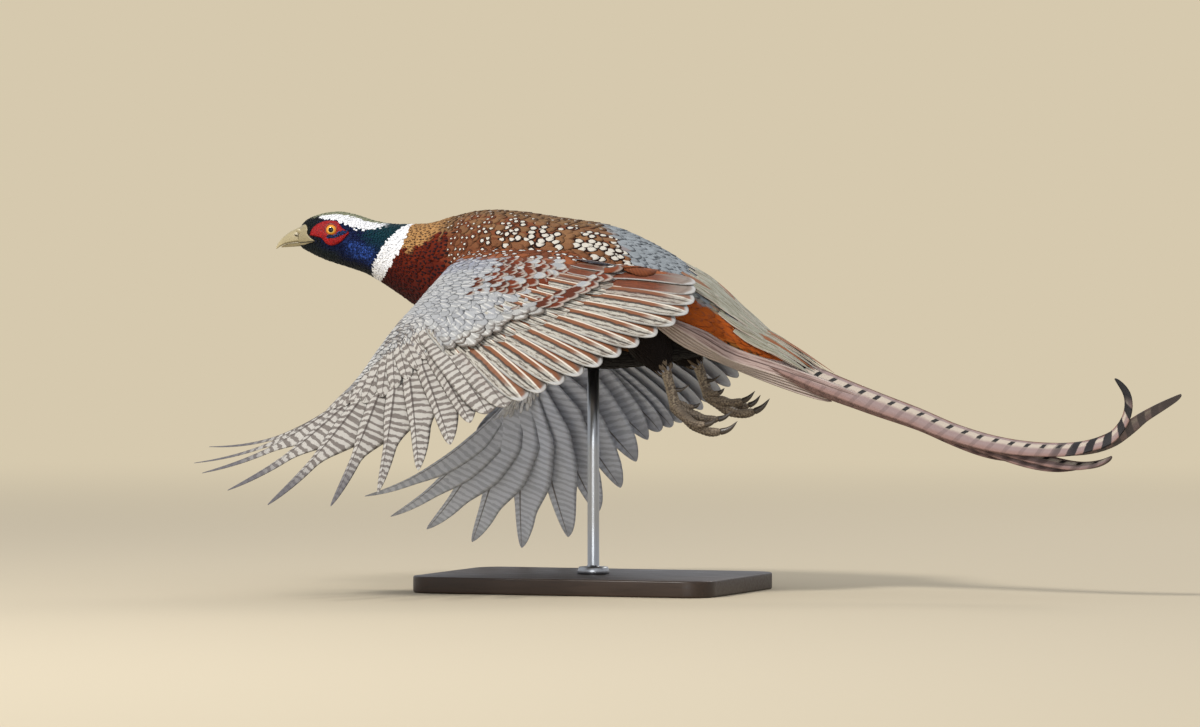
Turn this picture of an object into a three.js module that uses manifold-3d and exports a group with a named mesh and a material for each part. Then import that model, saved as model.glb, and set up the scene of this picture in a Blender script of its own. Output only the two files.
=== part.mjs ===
// A cock common pheasant in flapping flight, life size, held over a flat base by one rod.
// Millimetres, +Z up. The bill points to -X, the bird's left is -Y, the floor is Z = 0.
import * as THREE from "three";
import { mergeVertices } from "three/addons/utils/BufferGeometryUtils.js";
import Module from "manifold-3d";

const wasm = await Module();
wasm.setup();

// Driving dimensions
const GAP = 0.35; // clearance between neighbouring pieces
const AROUND = 20; // points round a body section
const HEAD_TURN = 12; // degrees that the head looks to its left
const TURN_FROM = -128; // station where the neck starts to turn
const TURN_TO = -180; // station where it has turned fully
const COLLAR_BACK = -180; // stations of the white ring's two edges
const COLLAR_FRONT = -193;
const NECK_BACK = -138; // where neck and torso meet
const TORSO_BACK = 104; // where torso and tail meet
const HEAD_FRONT = -266; // where the feathered head ends and the bill starts
const BILL_LENGTH = 20;
const EYE_RADIUS = 6.9;
const EYE_STATION = -237;
const EYE_HEIGHT = 306.2;
const EYE_SIDE = 14.4;
const LID_RADIUS = 5.9;
const LID_THICK = 0.95;
const VANE_THICK = 0.8;
const VANE_TILT = 0.16; // how far a vane leans over its neighbour, as a slope
const BASE_LENGTH = 270;
const BASE_WIDTH = 190;
const BASE_THICK = 14;
const ROD_RADIUS = 5;
const ROD_AT = new THREE.Vector3(-6, 0, 0);

const v3 = (x, y, z) => new THREE.Vector3(x, y, z);
const smooth = (a, b, x) => THREE.MathUtils.smoothstep(x, a, b);
const mix = THREE.MathUtils.lerp;

// Body sections: station, top, bottom, half width, lean (how far the section leans back per mm of height)
const SECTIONS = [
  [-268, 307.0, 292.0, 7.5, 0.0],
  [-264, 312.6, 289.2, 11.0, 0.0],
  [-259, 316.4, 286.6, 14.0, 0.0],
  [-251, 319.4, 282.6, 17.2, 0.0],
  [-242, 321.4, 279.0, 19.2, 0.0],
  [-231, 321.8, 275.6, 20.6, 0.0],
  [-219, 319.4, 272.0, 21.6, 0.04],
  [-206, 314.6, 268.0, 23.0, 0.14],
  [-193, 312.0, 262.4, 25.0, 0.26],
  [-180, 311.8, 255.0, 27.5, 0.28],
  [-162, 312.8, 243.0, 34.0, 0.24],
  [-140, 318.4, 228.0, 43.0, 0.17],
  [-110, 323.6, 211.0, 53.0, 0.09],
  [-72, 322.4, 197.6, 60.0, 0.03],
  [-32, 317.0, 190.4, 62.5, 0.0],
  [10, 310.6, 188.2, 61.0, 0.0],
  [46, 296.0, 191.6, 54.5, 0.0],
  [78, 277.6, 197.4, 45.0, 0.0],
  [106, 258.2, 200.6, 35.5, 0.0],
  [130, 237.0, 196.6, 27.0, 0.0],
  [152, 219.0, 190.0, 19.5, 0.0],
  [172, 206.0, 184.0, 12.0, 0.0],
];

// Smooth values of a table's columns at x, by cubic segments through its rows
function tableAt(rows, x) {
  let i = 0;
  while (i < rows.length - 2 && x > rows[i + 1][0]) i += 1;
  const [a, b] = [rows[i], rows[i + 1]];
  const before = rows[Math.max(i - 1, 0)];
  const after = rows[Math.min(i + 2, rows.length - 1)];
  const span = b[0] - a[0];
  const t = THREE.MathUtils.clamp((x - a[0]) / span, 0, 1);
  return a.slice(1).map((p, k) => {
    const q = b[k + 1];
    const slopeA = ((q - before[k + 1]) / (b[0] - before[0] || span)) * span;
    const slopeB = ((after[k + 1] - p) / (after[0] - a[0] || span)) * span;
    const t2 = t * t;
    const t3 = t2 * t;
    return (
      p * (2 * t3 - 3 * t2 + 1) + slopeA * (t3 - 2 * t2 + t) + q * (3 * t2 - 2 * t3) + slopeB * (t3 - t2)
    );
  });
}

// The neck's turn: a point at a station and side offset, before the turn, goes to where the turned neck has it
function turned(x, y, z) {
  const full = THREE.MathUtils.degToRad(HEAD_TURN);
  const span = TURN_FROM - TURN_TO;
  let px = Math.max(x, TURN_FROM);
  let py = 0;
  let angle = 0;
  const steps = 12;
  const bend = Math.min(Math.max(TURN_FROM - x, 0), span);
  for (let i = 0; i < steps; i += 1) {
    angle = (full * ((i + 0.5) * bend)) / steps / span;
    px -= (Math.cos(angle) * bend) / steps;
    py -= (Math.sin(angle) * bend) / steps;
  }
  angle = (full * bend) / span;
  const ahead = Math.max(TURN_TO - x, 0);
  px -= Math.cos(angle) * ahead;
  py -= Math.sin(angle) * ahead;
  return v3(px - Math.sin(angle) * y, py + Math.cos(angle) * y, z);
}

// One closed ring of the body at a station, grown outwards by a clearance
function bodyRing(x, grow = 0, count = AROUND) {
  const [top, bottom, half, lean] = tableAt(SECTIONS, x);
  const middle = (top + bottom) / 2;
  return Array.from({ length: count }, (_, k) => {
    const a = (2 * Math.PI * k) / count;
    const up = ((top - bottom) / 2 + grow) * Math.sin(a);
    return turned(x + lean * up, (half + grow) * Math.cos(a), middle + up);
  });
}

// The body's half width at a station and height, seen from the side
function bodySide(x, z) {
  const [top, bottom, half] = tableAt(SECTIONS, x);
  const up = (z - (top + bottom) / 2) / ((top - bottom) / 2);
  return half * Math.sqrt(Math.max(0, 1 - up * up));
}

// Solids

function solidOf(geometry) {
  const plain = geometry.index ? geometry.toNonIndexed() : geometry.clone();
  const bare = new THREE.BufferGeometry().setAttribute("position", plain.getAttribute("position"));
  const merged = mergeVertices(bare, 1e-4);
  const build = (triVerts) =>
    new wasm.Manifold(
      new wasm.Mesh({ numProp: 3, vertProperties: merged.attributes.position.array, triVerts }),
    );
  const triVerts = new Uint32Array(merged.index.array);
  const made = build(triVerts);
  if (made.volume() >= 0) return made;
  for (let i = 0; i < triVerts.length; i += 3)
    [triVerts[i + 1], triVerts[i + 2]] = [triVerts[i + 2], triVerts[i + 1]];
  return build(triVerts);
}

function geometryOf(solid) {
  const mesh = solid.getMesh();
  const stride = mesh.numProp;
  const places = new Float32Array(mesh.numVert * 3);
  for (let i = 0; i < mesh.numVert; i += 1)
    places.set(mesh.vertProperties.subarray(i * stride, i * stride + 3), i * 3);
  const geometry = new THREE.BufferGeometry();
  geometry.setAttribute("position", new THREE.BufferAttribute(places, 3));
  geometry.setIndex(new THREE.BufferAttribute(mesh.triVerts, 1));
  return geometry;
}

// The largest closed surface of a solid
const largest = (solid) => solid.decompose().reduce((a, b) => (b.volume() > a.volume() ? b : a));

function joined(pieces) {
  let level = pieces;
  while (level.length > 1) {
    const next = [];
    for (let i = 0; i < level.length; i += 2)
      next.push(i + 1 < level.length ? level[i].add(level[i + 1]) : level[i]);
    level = next;
  }
  return level[0];
}

const cutBy = (solid, cutters) => cutters.reduce((left, cutter) => left.subtract(cutter), solid);

function trianglesSolid(points, faces) {
  const geometry = new THREE.BufferGeometry();
  geometry.setAttribute(
    "position",
    new THREE.BufferAttribute(new Float32Array(points.flatMap((p) => [p.x, p.y, p.z])), 3),
  );
  geometry.setIndex(faces.flat());
  return solidOf(geometry);
}

// A skin through rings of equal count, closed by a flat fan at both ends
function loft(rings) {
  const count = rings[0].length;
  const points = rings.flat();
  const faces = [];
  for (let i = 0; i + 1 < rings.length; i += 1)
    for (let k = 0; k < count; k += 1) {
      const a = i * count + k;
      const b = i * count + ((k + 1) % count);
      faces.push([a, b, b + count], [a, b + count, a + count]);
    }
  for (const [ring, flip] of [[0, true], [rings.length - 1, false]]) {
    const hub = points.length;
    const centre = rings[ring].reduce((sum, p) => sum.add(p), v3(0, 0, 0)).divideScalar(count);
    points.push(centre);
    for (let k = 0; k < count; k += 1) {
      const a = ring * count + k;
      const b = ring * count + ((k + 1) % count);
      faces.push(flip ? [b, a, hub] : [a, b, hub]);
    }
  }
  return trianglesSolid(points, faces);
}

function bodyLoft(from, to, steps, grow = 0, count = AROUND) {
  return loft(
    Array.from({ length: steps + 1 }, (_, i) => bodyRing(mix(from, to, i / steps), grow, count)),
  );
}

// A round tube along a curve, with a radius that changes along it
function tube(curve, radiusAt, steps, sides, flatten = 1) {
  const frames = curve.computeFrenetFrames(steps, false);
  return loft(
    Array.from({ length: steps + 1 }, (_, i) => {
      const centre = curve.getPointAt(i / steps);
      return Array.from({ length: sides }, (_, k) => {
        const a = (2 * Math.PI * k) / sides;
        return centre
          .clone()
          .addScaledVector(frames.normals[i], radiusAt(i / steps) * Math.cos(a))
          .addScaledVector(frames.binormals[i], radiusAt(i / steps) * flatten * Math.sin(a));
      });
    }),
  );
}

function ball(centre, radius, across = 16, up = 10) {
  const g = new THREE.SphereGeometry(radius, across, up);
  g.translate(centre.x, centre.y, centre.z);
  return solidOf(g);
}

// A feather vane: a thin strip along a path, as wide as the feather is at each step.
// path(t) and face(t) give the shaft and the direction its upper face looks, for t from 0 to 1.
function vane({ path, face, wide, lead = 0.5, steps = 5, thick = VANE_THICK, tilt = 0 }) {
  const points = [];
  for (let i = 0; i <= steps; i += 1) {
    const t = i / steps;
    const step = 0.02;
    const along = path(Math.min(t + step, 1)).sub(path(Math.max(t - step, 0))).normalize();
    const up = face(t).clone();
    up.addScaledVector(along, -up.dot(along)).normalize();
    const side = new THREE.Vector3().crossVectors(along, up);
    const across = side.clone().addScaledVector(up, tilt).normalize();
    const normal = new THREE.Vector3().crossVectors(across, along).normalize();
    const half = (thick * mix(1, 0.7, t)) / 2;
    const width = wide(t);
    for (const [share, level] of [[1 - lead, half], [-lead, half], [1 - lead, -half], [-lead, -half]])
      points.push(path(t).addScaledVector(across, -share * width).addScaledVector(normal, level));
  }
  const faces = [];
  for (let i = 0; i < steps; i += 1) {
    const [a, b, c, d] = [0, 1, 2, 3].map((k) => i * 4 + k);
    faces.push([a, b, b + 4], [a, b + 4, a + 4]);
    faces.push([c, d + 4, d], [c, c + 4, d + 4]);
    faces.push([a, a + 4, c + 4], [a, c + 4, c]);
    faces.push([b, d, d + 4], [b, d + 4, b + 4]);
  }
  const end = steps * 4;
  faces.push([0, 2, 3], [0, 3, 1]);
  faces.push([end, end + 1, end + 3], [end, end + 3, end + 2]);
  return trianglesSolid(points, faces);
}

// Feather outlines: share of the full width along the shaft
const pointed = (t) => Math.max(0.07, Math.min(1, 0.16 + 2.6 * t) * Math.pow(1 - Math.pow(t, 3.2), 0.75));
const rounded = (t) => Math.max(0.3, Math.min(1, 0.2 + 2.4 * t) * Math.sqrt(1 - Math.pow(t, 7)));
const fingered = (t) => Math.max(0.08, Math.min(1, 0.2 + 2.6 * t) * mix(1, 0.42, smooth(0.45, 0.75, t)) * Math.sqrt(1 - Math.pow(t, 8)));

const bentPath = (root, hump, tip) => (t) => new THREE.QuadraticBezierCurve3(root, hump, tip).getPoint(t);

// Wings. The left wing's places; the right wing is its mirror image, drooping further.
// Arm sections from shoulder to fingertip: leading point, trailing point, thickness
const ARM = [
  [v3(-112, -26, 286), v3(46, -24, 276), 28],
  [v3(-114, -58, 274), v3(34, -58, 270), 28],
  [v3(-119, -92, 256), v3(-14, -100, 250), 25],
  [v3(-125, -120, 239), v3(-60, -124, 233), 19],
  [v3(-131, -142, 225), v3(-101, -140, 223), 14],
  [v3(-141, -158, 206), v3(-120, -155, 205), 11],
  [v3(-151, -173, 186), v3(-137, -169, 185), 7.5],
  [v3(-160, -186, 171), v3(-154, -184, 171), 4],
];
const WRIST = 4; // index of the wrist's section
const PRIMARIES = 10;
const SECONDARIES = 15; // with the tertials
const FLIGHT = PRIMARIES + SECONDARIES;
// Tips of the flight feathers, from the outermost primary to the innermost tertial, spread evenly by count
const TIPS = [
  [0, v3(-281, -188, 125)],
  [1, v3(-275, -235, 113)],
  [2, v3(-254, -268, 106)],
  [3, v3(-221, -292, 93)],
  [4, v3(-180, -305, 82)],
  [5, v3(-131, -288, 81)],
  [6, v3(-97, -268, 92)],
  [7, v3(-69, -248, 110)],
  [8, v3(-48, -229, 131)],
  [9, v3(-34, -219, 149)],
  [12, v3(4, -198, 167)],
  [15, v3(42, -165, 187)],
  [18, v3(79, -126, 211)],
  [21, v3(110, -88, 238)],
  [24, v3(104, -52, 262)],
];
// The right wing's flight feathers hang lower than the left one's, most at the outer primaries
const DROOP = [
  [0, 49], [2, 62], [4, 55], [6, 31], [9, 23], [12, 27], [18, 28], [24, 12],
];
const RIGHT_REACH = 1.03; // and reach this much further forward and back

// A wing is worked out once for each side: side is -1 for the left wing and 1 for the right one
function wingFrame(side) {
  const place = (p, drop = 0) => v3(p.x, p.y * -side, p.z - (side > 0 ? drop : 0));
  const reach = side > 0 ? RIGHT_REACH : 1;
  const droopAt = (n) => tableAt(DROOP, n)[0];
  const tipRows = TIPS.map(([n, p]) => [n, p.x, p.y, p.z]);
  const tip = (n) => {
    const [x, y, z] = tableAt(tipRows, n);
    return place(v3(x * reach, y, z), droopAt(n));
  };
  const sectionDrop = [0, 0, 3, 6, 10, 14, 18, 22];
  const arm = ARM.map(([front, back, thick], i) => ({
    front: place(front, sectionDrop[i]),
    back: place(back, sectionDrop[i]),
    thick,
  }));
  const fronts = new THREE.CatmullRomCurve3(arm.map((s) => s.front), false, "centripetal");
  const backs = new THREE.CatmullRomCurve3(arm.map((s) => s.back), false, "centripetal");
  const last = arm.length - 1;
  // place along the arm, in sections, of the nth flight feather's root
  const rootAt = (n) =>
    n < PRIMARIES
      ? mix(6.6, WRIST + 0.12, n / (PRIMARIES - 1))
      : mix(WRIST - 0.1, 1.1, (n - PRIMARIES) / (SECONDARIES - 1));
  const upAt = (s) => {
    const front = fronts.getPoint(s / last);
    const back = backs.getPoint(s / last);
    const step = fronts.getPoint(Math.min(s + 0.2, last) / last).sub(fronts.getPoint(Math.max(s - 0.2, 0) / last));
    const up = new THREE.Vector3().crossVectors(front.clone().sub(back), step).normalize();
    return up.z < 0 ? up.negate() : up;
  };
  const chord = (s, share, lift) =>
    backs.getPoint(s / last).lerp(fronts.getPoint(s / last), share).addScaledVector(upAt(s), lift);
  const thickAt = (s) => tableAt(arm.map((a, i) => [i, a.thick]), s)[0];
  const root = (n) => chord(rootAt(n), 0.22, -0.1 * thickAt(rootAt(n)));
  // the way the wing's upper face looks at a feather
  const up = (n) => {
    const along = tip(n).sub(root(n));
    const across = tip(Math.min(n + 0.5, FLIGHT - 1)).sub(tip(Math.max(n - 0.5, 0)));
    const face = new THREE.Vector3().crossVectors(across, along).normalize();
    return face.z < 0 ? face.negate() : face;
  };
  const sag = (n) => (n < PRIMARIES ? mix(14, 3, n / (PRIMARIES - 1)) : -5);
  // the shaft line of the nth flight feather
  const shaft = (n) => {
    const [from, to] = [root(n), tip(n)];
    const hump = from.clone().lerp(to, 0.5).addScaledVector(up(n), -2 * sag(n));
    return bentPath(from, hump, to);
  };
  return { side, arm, chord, thickAt, upAt, rootAt, root, tip, up, shaft };
}

// The arm under the feathers, between two places along it, grown outwards by a clearance
function armSolid(frame, from, to, steps, grow = 0) {
  const sides = 12;
  const rings = Array.from({ length: steps + 1 }, (_, i) => {
    const s = mix(from, to, i / steps);
    const middle = frame.chord(s, 0.5, 0);
    const half = frame.chord(s, 1, 0).sub(middle);
    half.setLength(half.length() + grow);
    return Array.from({ length: sides }, (_, k) => {
      const a = (2 * Math.PI * k) / sides;
      return middle
        .clone()
        .addScaledVector(half, Math.cos(a))
        .addScaledVector(frame.upAt(s), (frame.thickAt(s) / 2 + grow) * Math.sin(a));
    });
  });
  return loft(rings);
}

const flightWidth = (n) => tableAt([[0, 17], [2, 25], [5, 29], [9, 29], [14, 29], [20, 31], [24, 34]], n)[0];

// Flight feathers from one count to another, each end included
function flightVanes(frame, from, to, grow = 0) {
  return Array.from({ length: to - from + 1 }, (_, i) => {
    const n = from + i;
    const outline = n < 4 ? fingered : n < PRIMARIES ? pointed : rounded;
    const face = frame.up(n);
    const lead = n < PRIMARIES ? 0.3 : 0.42;
    return vane({
      path: frame.shaft(n),
      face: () => face,
      wide: (t) => flightWidth(n) * outline(t) + 2 * grow,
      lead: frame.side < 0 ? lead : 1 - lead,
      steps: n < PRIMARIES ? 6 : 4,
      tilt: -frame.side * VANE_TILT,
      thick: VANE_THICK + 2 * grow,
    });
  });
}

// Tiers of coverts over the flight feathers: counts they lie over, where across the arm they start,
// how high they lie, how far down the flight feathers they reach, and their width
const TIERS = {
  greaterHand: { from: 0.6, to: 9.2, start: 0.5, lift: 3.4, reach: 0.34, width: 18, count: 7 },
  greaterArm: { from: 10.4, to: 22.5, start: 0.42, lift: 3.6, reach: 0.44, width: 23, count: 10 },
  medianArm: { from: 10.2, to: 21.5, start: 0.62, lift: 6.4, reach: 0.2, width: 25, count: 8 },
};

function covertVanes(frame, { from, to, start, lift, reach, width, count }, grow = 0) {
  return Array.from({ length: count }, (_, k) => {
    const n = mix(from, to, k / (count - 1));
    const face = frame.up(n);
    const s = frame.rootAt(n);
    const root = frame.chord(s, start, 0.2 * frame.thickAt(s));
    const tip = frame.shaft(n)(reach).addScaledVector(face, lift);
    const hump = root.clone().lerp(tip, 0.5).addScaledVector(face, 3);
    return vane({
      path: bentPath(root, hump, tip),
      face: () => face,
      wide: (t) => width * rounded(t) + 2 * grow,
      steps: 2,
      tilt: -frame.side * VANE_TILT,
      thick: VANE_THICK + 2 * grow,
    });
  });
}

function innerWing(frame, cutters) {
  const pieces = [
    armSolid(frame, 0, WRIST, 6),
    ...flightVanes(frame, PRIMARIES, FLIGHT - 1),
    ...covertVanes(frame, TIERS.greaterArm),
    ...covertVanes(frame, TIERS.medianArm),
  ];
  return largest(cutBy(joined(pieces), cutters));
}

// The hand keeps clear of the inner wing's outermost feathers, which lie over it
function handWing(frame) {
  const pieces = [
    armSolid(frame, WRIST + 0.02, 7, 4),
    ...flightVanes(frame, 0, PRIMARIES - 1),
    ...covertVanes(frame, TIERS.greaterHand),
  ];
  const inner = [
    armSolid(frame, WRIST - 1, WRIST, 3, GAP),
    ...flightVanes(frame, PRIMARIES, PRIMARIES + 3, GAP),
    ...covertVanes(frame, TIERS.greaterArm, GAP).slice(0, 3),
    ...covertVanes(frame, TIERS.medianArm, GAP).slice(0, 3),
  ];
  return largest(cutBy(joined(pieces), inner));
}

// Tail: nine feathers a side, stacked like a roof. The centre line of the tail, from its root.
const TAIL_LINE = [
  v3(92, 0, 248), v3(126, 0, 231), v3(157, 0, 210), v3(202, 0, 189), v3(250, 0, 170.5), v3(285, 0, 158),
  v3(319, 0, 144.5), v3(354, 0, 135), v3(389, 0, 130.5), v3(424, 0, 131), v3(446, 0, 136.5),
];
const STRAIGHT_END = [v3(462, 0, 145), v3(477, 0, 155), v3(494, 0, 164), v3(512, 0, 172)];
const CURLED_END = [v3(456, 0, 144), v3(463, 0, 156), v3(463.5, 0, 169), v3(455, 0, 184)];
const TAIL_REACH = [1, 0.85, 0.79, 0.68, 0.55, 0.44, 0.36, 0.3, 0.25]; // of each pair, out from the centre
const TAIL_ROOF = 0.72; // slope of the tail's two sides
const TAIL_STACK = 1.5; // from one feather down to the next below
const TAIL_SPLIT = 0.5; // from the middle to the inner edges

function tailVane(side, k) {
  const end = k > 0 || side > 0 ? STRAIGHT_END : CURLED_END;
  const line = new THREE.CatmullRomCurve3([...TAIL_LINE, ...end], false, "centripetal");
  const reach = TAIL_REACH[k];
  const width = mix(29, 24, k / 8);
  const roofAngle = Math.atan(TAIL_ROOF) + 0.03 * k;
  const face = v3(0.25, side * Math.sin(roofAngle), Math.cos(roofAngle)).normalize();
  const droop = k > 0 ? 18 * smooth(0.5, 0.85, reach) : 0;
  const path = (t) => {
    const p = line.getPointAt(Math.min(t * reach, 1));
    p.y = side * TAIL_SPLIT;
    p.z -= droop * smooth(0.72, 1, t) + TAIL_STACK * k;
    return p;
  };
  const taper = (t) =>
    Math.max(0.1, Math.min(1, 0.35 + 3 * t) * mix(1, 0.5, Math.pow(t, 1.4)) * Math.sqrt(1 - Math.pow(t, 9)));
  return vane({
    path,
    face: () => face,
    wide: (t) => width * taper(t),
    lead: side < 0 ? 1 : 0,
    steps: k < 3 ? 9 : 5,
  });
}

// Upper tail coverts: three pairs laid over the tail's root
function rumpVane(side, k) {
  const face = v3(0.45, side * 0.5, 0.8).normalize();
  const from = v3(112 + 8 * k, side * (4 + 4 * k), 238 - 8 * k);
  const to = v3(212 - 12 * k, side * (5 + 4 * k), 184 - 2 * k);
  const hump = from.clone().lerp(to, 0.5).addScaledVector(face, 3);
  return vane({
    path: bentPath(from, hump, to),
    face: () => face,
    wide: (t) => 15 * rounded(t),
    steps: 3,
  });
}

function tailSolid(cutters) {
  const block = bodyLoft(TORSO_BACK + GAP, 168, 5, 0, 14);
  const vanes = [-1, 1].flatMap((side) => [
    ...TAIL_REACH.map((_, k) => tailVane(side, k)),
    ...[0, 1, 2].map((k) => rumpVane(side, k)),
  ]);
  return largest(cutBy(joined([block, ...vanes]), cutters));
}

// Head

function eyePlace(side) {
  return turned(EYE_STATION, side * EYE_SIDE, EYE_HEIGHT);
}

function lidRing(side) {
  const ring = new THREE.TorusGeometry(LID_RADIUS, LID_THICK, 5, 16);
  const outward = turned(EYE_STATION, side * (EYE_SIDE + 1), EYE_HEIGHT).sub(eyePlace(side)).normalize();
  ring.applyQuaternion(new THREE.Quaternion().setFromUnitVectors(v3(0, 0, 1), outward));
  const lift = Math.sqrt(EYE_RADIUS ** 2 - LID_RADIUS ** 2) + 0.35;
  const place = eyePlace(side).addScaledVector(outward, lift);
  ring.translate(place.x, place.y, place.z);
  return solidOf(ring);
}

function headSolid(grow = 0) {
  const head = bodyLoft(HEAD_FRONT, COLLAR_FRONT - GAP / 2, 12, grow);
  if (grow) return head;
  const lids = joined([head, lidRing(-1), lidRing(1)]);
  return cutBy(lids, [-1, 1].map((side) => ball(eyePlace(side), EYE_RADIUS + GAP, 14, 9)));
}

// Outline of the bare red skin round the eye, forward and up from the eye, in order round it
const WATTLE = [
  [19, -5], [15.5, 2.2], [10, 6.3], [2.5, 7.8], [-5, 6], [-10.5, 0.5], [-15, -2.4],
  [-12, -7.5], [-7.5, -12], [-2, -13.2], [4, -11], [9, -6.6],
];

function wattleSolid(side, head) {
  const outline = new THREE.CatmullRomCurve3(WATTLE.map(([f, u]) => v3(f, 0, u)), true, "centripetal");
  const count = 18;
  const levels = [-4, 0.4, 1.5, 1.9, 1.5];
  const shares = [1, 1, 0.9, 0.66, 0];
  const rings = levels.map((level, i) =>
    Array.from({ length: count }, (_, k) => {
      const p = outline.getPointAt(k / count);
      const inner = p.clone().setLength(LID_RADIUS + LID_THICK + 0.2);
      const q = i < 3 ? p.multiplyScalar(shares[i]) : inner.lerp(p, shares[i]);
      const x = EYE_STATION - q.x;
      const z = EYE_HEIGHT + q.z;
      return turned(x, side * (bodySide(x, z) + level), z);
    }),
  );
  rings.push(
    Array.from({ length: count }, (_, k) => {
      const q = outline.getPointAt(k / count).setLength(LID_RADIUS + LID_THICK + 0.2);
      const [x, z] = [EYE_STATION - q.x, EYE_HEIGHT + q.z];
      return turned(x, side * (bodySide(x, z) - 4), z);
    }),
  );
  const points = rings.flat();
  const faces = [];
  for (let i = 0; i < rings.length; i += 1)
    for (let k = 0; k < count; k += 1) {
      const j = (i + 1) % rings.length;
      const n = (k + 1) % count;
      faces.push([i * count + k, i * count + n, j * count + n], [i * count + k, j * count + n, j * count + k]);
    }
  return largest(cutBy(trianglesSolid(points, faces), [head]));
}

// Bill: stations forward of the head's front, with top, mouth line and half width
const BILL_UPPER = [
  [0, 308.6, 295.7, 7.0], [5, 305.6, 295.2, 6.6], [10, 302.0, 294.6, 5.4], [15, 297.6, 293.4, 3.6],
  [18.4, 294.2, 291.4, 1.9], [20, 292.2, 290.6, 0.7],
];
const BILL_LOWER = [
  [0, 295.4, 292.0, 5.8], [5, 294.8, 291.8, 5.2], [10, 294.2, 291.6, 4.0], [15, 292.9, 291.2, 2.4], [17, 292.0, 291.0, 1.2],
];

function billSolid(rows, length, steps) {
  return loft(
    Array.from({ length: steps + 1 }, (_, i) => {
      const ahead = (length * i) / steps;
      const [top, bottom, half] = tableAt(rows, ahead);
      return Array.from({ length: 12 }, (_, k) => {
        const a = (2 * Math.PI * k) / 12;
        const up = Math.sin(a);
        const z = mix(bottom, top, 0.5 + 0.5 * up);
        return turned(HEAD_FRONT - GAP - ahead, half * Math.cos(a), z);
      });
    }),
  );
}

function nostril(side) {
  const pit = new THREE.SphereGeometry(1, 7, 5);
  pit.scale(2.4, 1.6, 0.9);
  pit.rotateY(0.5);
  const at = turned(HEAD_FRONT - 4.5, side * 6.2, 301.2);
  pit.translate(at.x, at.y, at.z);
  return solidOf(pit);
}

// Legs: the left leg's places; side mirrors them
const LEGS = {
  left: { side: -1, hip: v3(56, -34, 214), cuff: v3(74, -40, 187), ankle: v3(84, -44, 157), lift: 0 },
  right: { side: 1, hip: v3(56, 34, 214), cuff: v3(75, 38, 191), ankle: v3(84, 40, 165), lift: 0.16 },
};
// Toes in the foot's own frame: back, outwards and up from the ankle, then the claw's tip, thickness
const TOES = {
  middle: { line: [[0, 0, 0], [12, 0, -11], [27, 0, -19], [41, 0, -19]], claw: [[48, 0, -16.5], [55, 0, -10]], thick: 3.6 },
  inner: { line: [[0, -1, 0], [12, -6, -5], [24, -9, -9], [34, -11, -9]], claw: [[40, -12, -7], [46, -12.5, -2]], thick: 3.2 },
  outer: { line: [[0, 1, 0], [11, 6, -8], [22, 10, -13], [31, 12, -13]], claw: [[37, 13, -11], [42, 13.5, -5.5]], thick: 3.1 },
  hallux: { line: [[-1, -3, 5], [3, -7, 3], [8, -9, 1], [12, -10, 1]], claw: [[15, -10.5, 2], [18, -11, 4.5]], thick: 2.4 },
};

function toeCurves(leg, toe) {
  const place = ([back, out, up]) =>
    v3(leg.ankle.x + back, leg.ankle.y + leg.side * out, leg.ankle.z + up + leg.lift * back);
  const whole = new THREE.CatmullRomCurve3([...toe.line, ...toe.claw].map(place), false, "centripetal");
  return whole;
}

function part(curve, from, to) {
  const points = Array.from({ length: 9 }, (_, i) => curve.getPointAt(mix(from, to, i / 8)));
  return new THREE.CatmullRomCurve3(points, false, "centripetal");
}

const CLAW_FROM = 0.74; // share of a toe's length where its claw starts

function toeSolid(leg, toe) {
  const curve = part(toeCurves(leg, toe), 0, CLAW_FROM);
  const joints = (t) => toe.thick * (mix(1.05, 0.8, t) + 0.1 * Math.cos(t * 6 * Math.PI));
  return tube(curve, joints, 6, 6);
}

function clawSolid(leg, toe) {
  const whole = toeCurves(leg, toe);
  const start = CLAW_FROM + GAP / whole.getLength();
  const curve = part(whole, start, 1);
  return tube(curve, (t) => mix(toe.thick * 0.72, 0.35, Math.pow(t, 0.8)), 4, 6);
}

function legCurve(leg, from, to) {
  const whole = new THREE.CatmullRomCurve3([leg.hip, leg.cuff, leg.ankle], false, "centripetal");
  return part(whole, from, to);
}

const CUFF = 0.5; // share of the leg's line where the feathers end
const JOINT = 0.93; // share where the shank ends and the foot starts
const shankRadius = (t) => mix(4.3, 4.6, t) + 0.7 * Math.cos(t * Math.PI * 2) ** 2;

function thighSolid(leg, torso) {
  const feathered = tube(legCurve(leg, 0, CUFF), (t) => mix(21, 7.5, Math.pow(t, 0.8)), 6, 14);
  return largest(feathered.subtract(torso));
}

function tarsusSolid(leg) {
  const curve = legCurve(leg, CUFF + 0.012, JOINT);
  const shank = tube(curve, shankRadius, 8, 10, 0.86);
  const middle = curve.getPointAt(0.45);
  const spurTip = middle.clone().add(v3(16, leg.side * -2, 5));
  const spurLine = new THREE.CatmullRomCurve3([middle, middle.clone().add(v3(9, -leg.side, 0.5)), spurTip]);
  const spur = tube(spurLine, (t) => mix(3, 0.4, t), 4, 6);
  return joined([shank, spur]);
}

function footSolid(leg) {
  const heel = ball(leg.ankle.clone().add(v3(1.5, 0, -2)), 5.2, 12, 8);
  const stub = tube(legCurve(leg, JOINT - 0.02, 1), () => 4.9, 2, 10, 0.86);
  const toes = Object.values(TOES).map((toe) => toeSolid(leg, toe));
  const shank = tube(legCurve(leg, CUFF, JOINT + 0.006), (t) => shankRadius(t) + GAP + 0.2, 8, 10, 0.9);
  return largest(joined([heel, stub, ...toes]).subtract(shank));
}

// Stand

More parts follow.
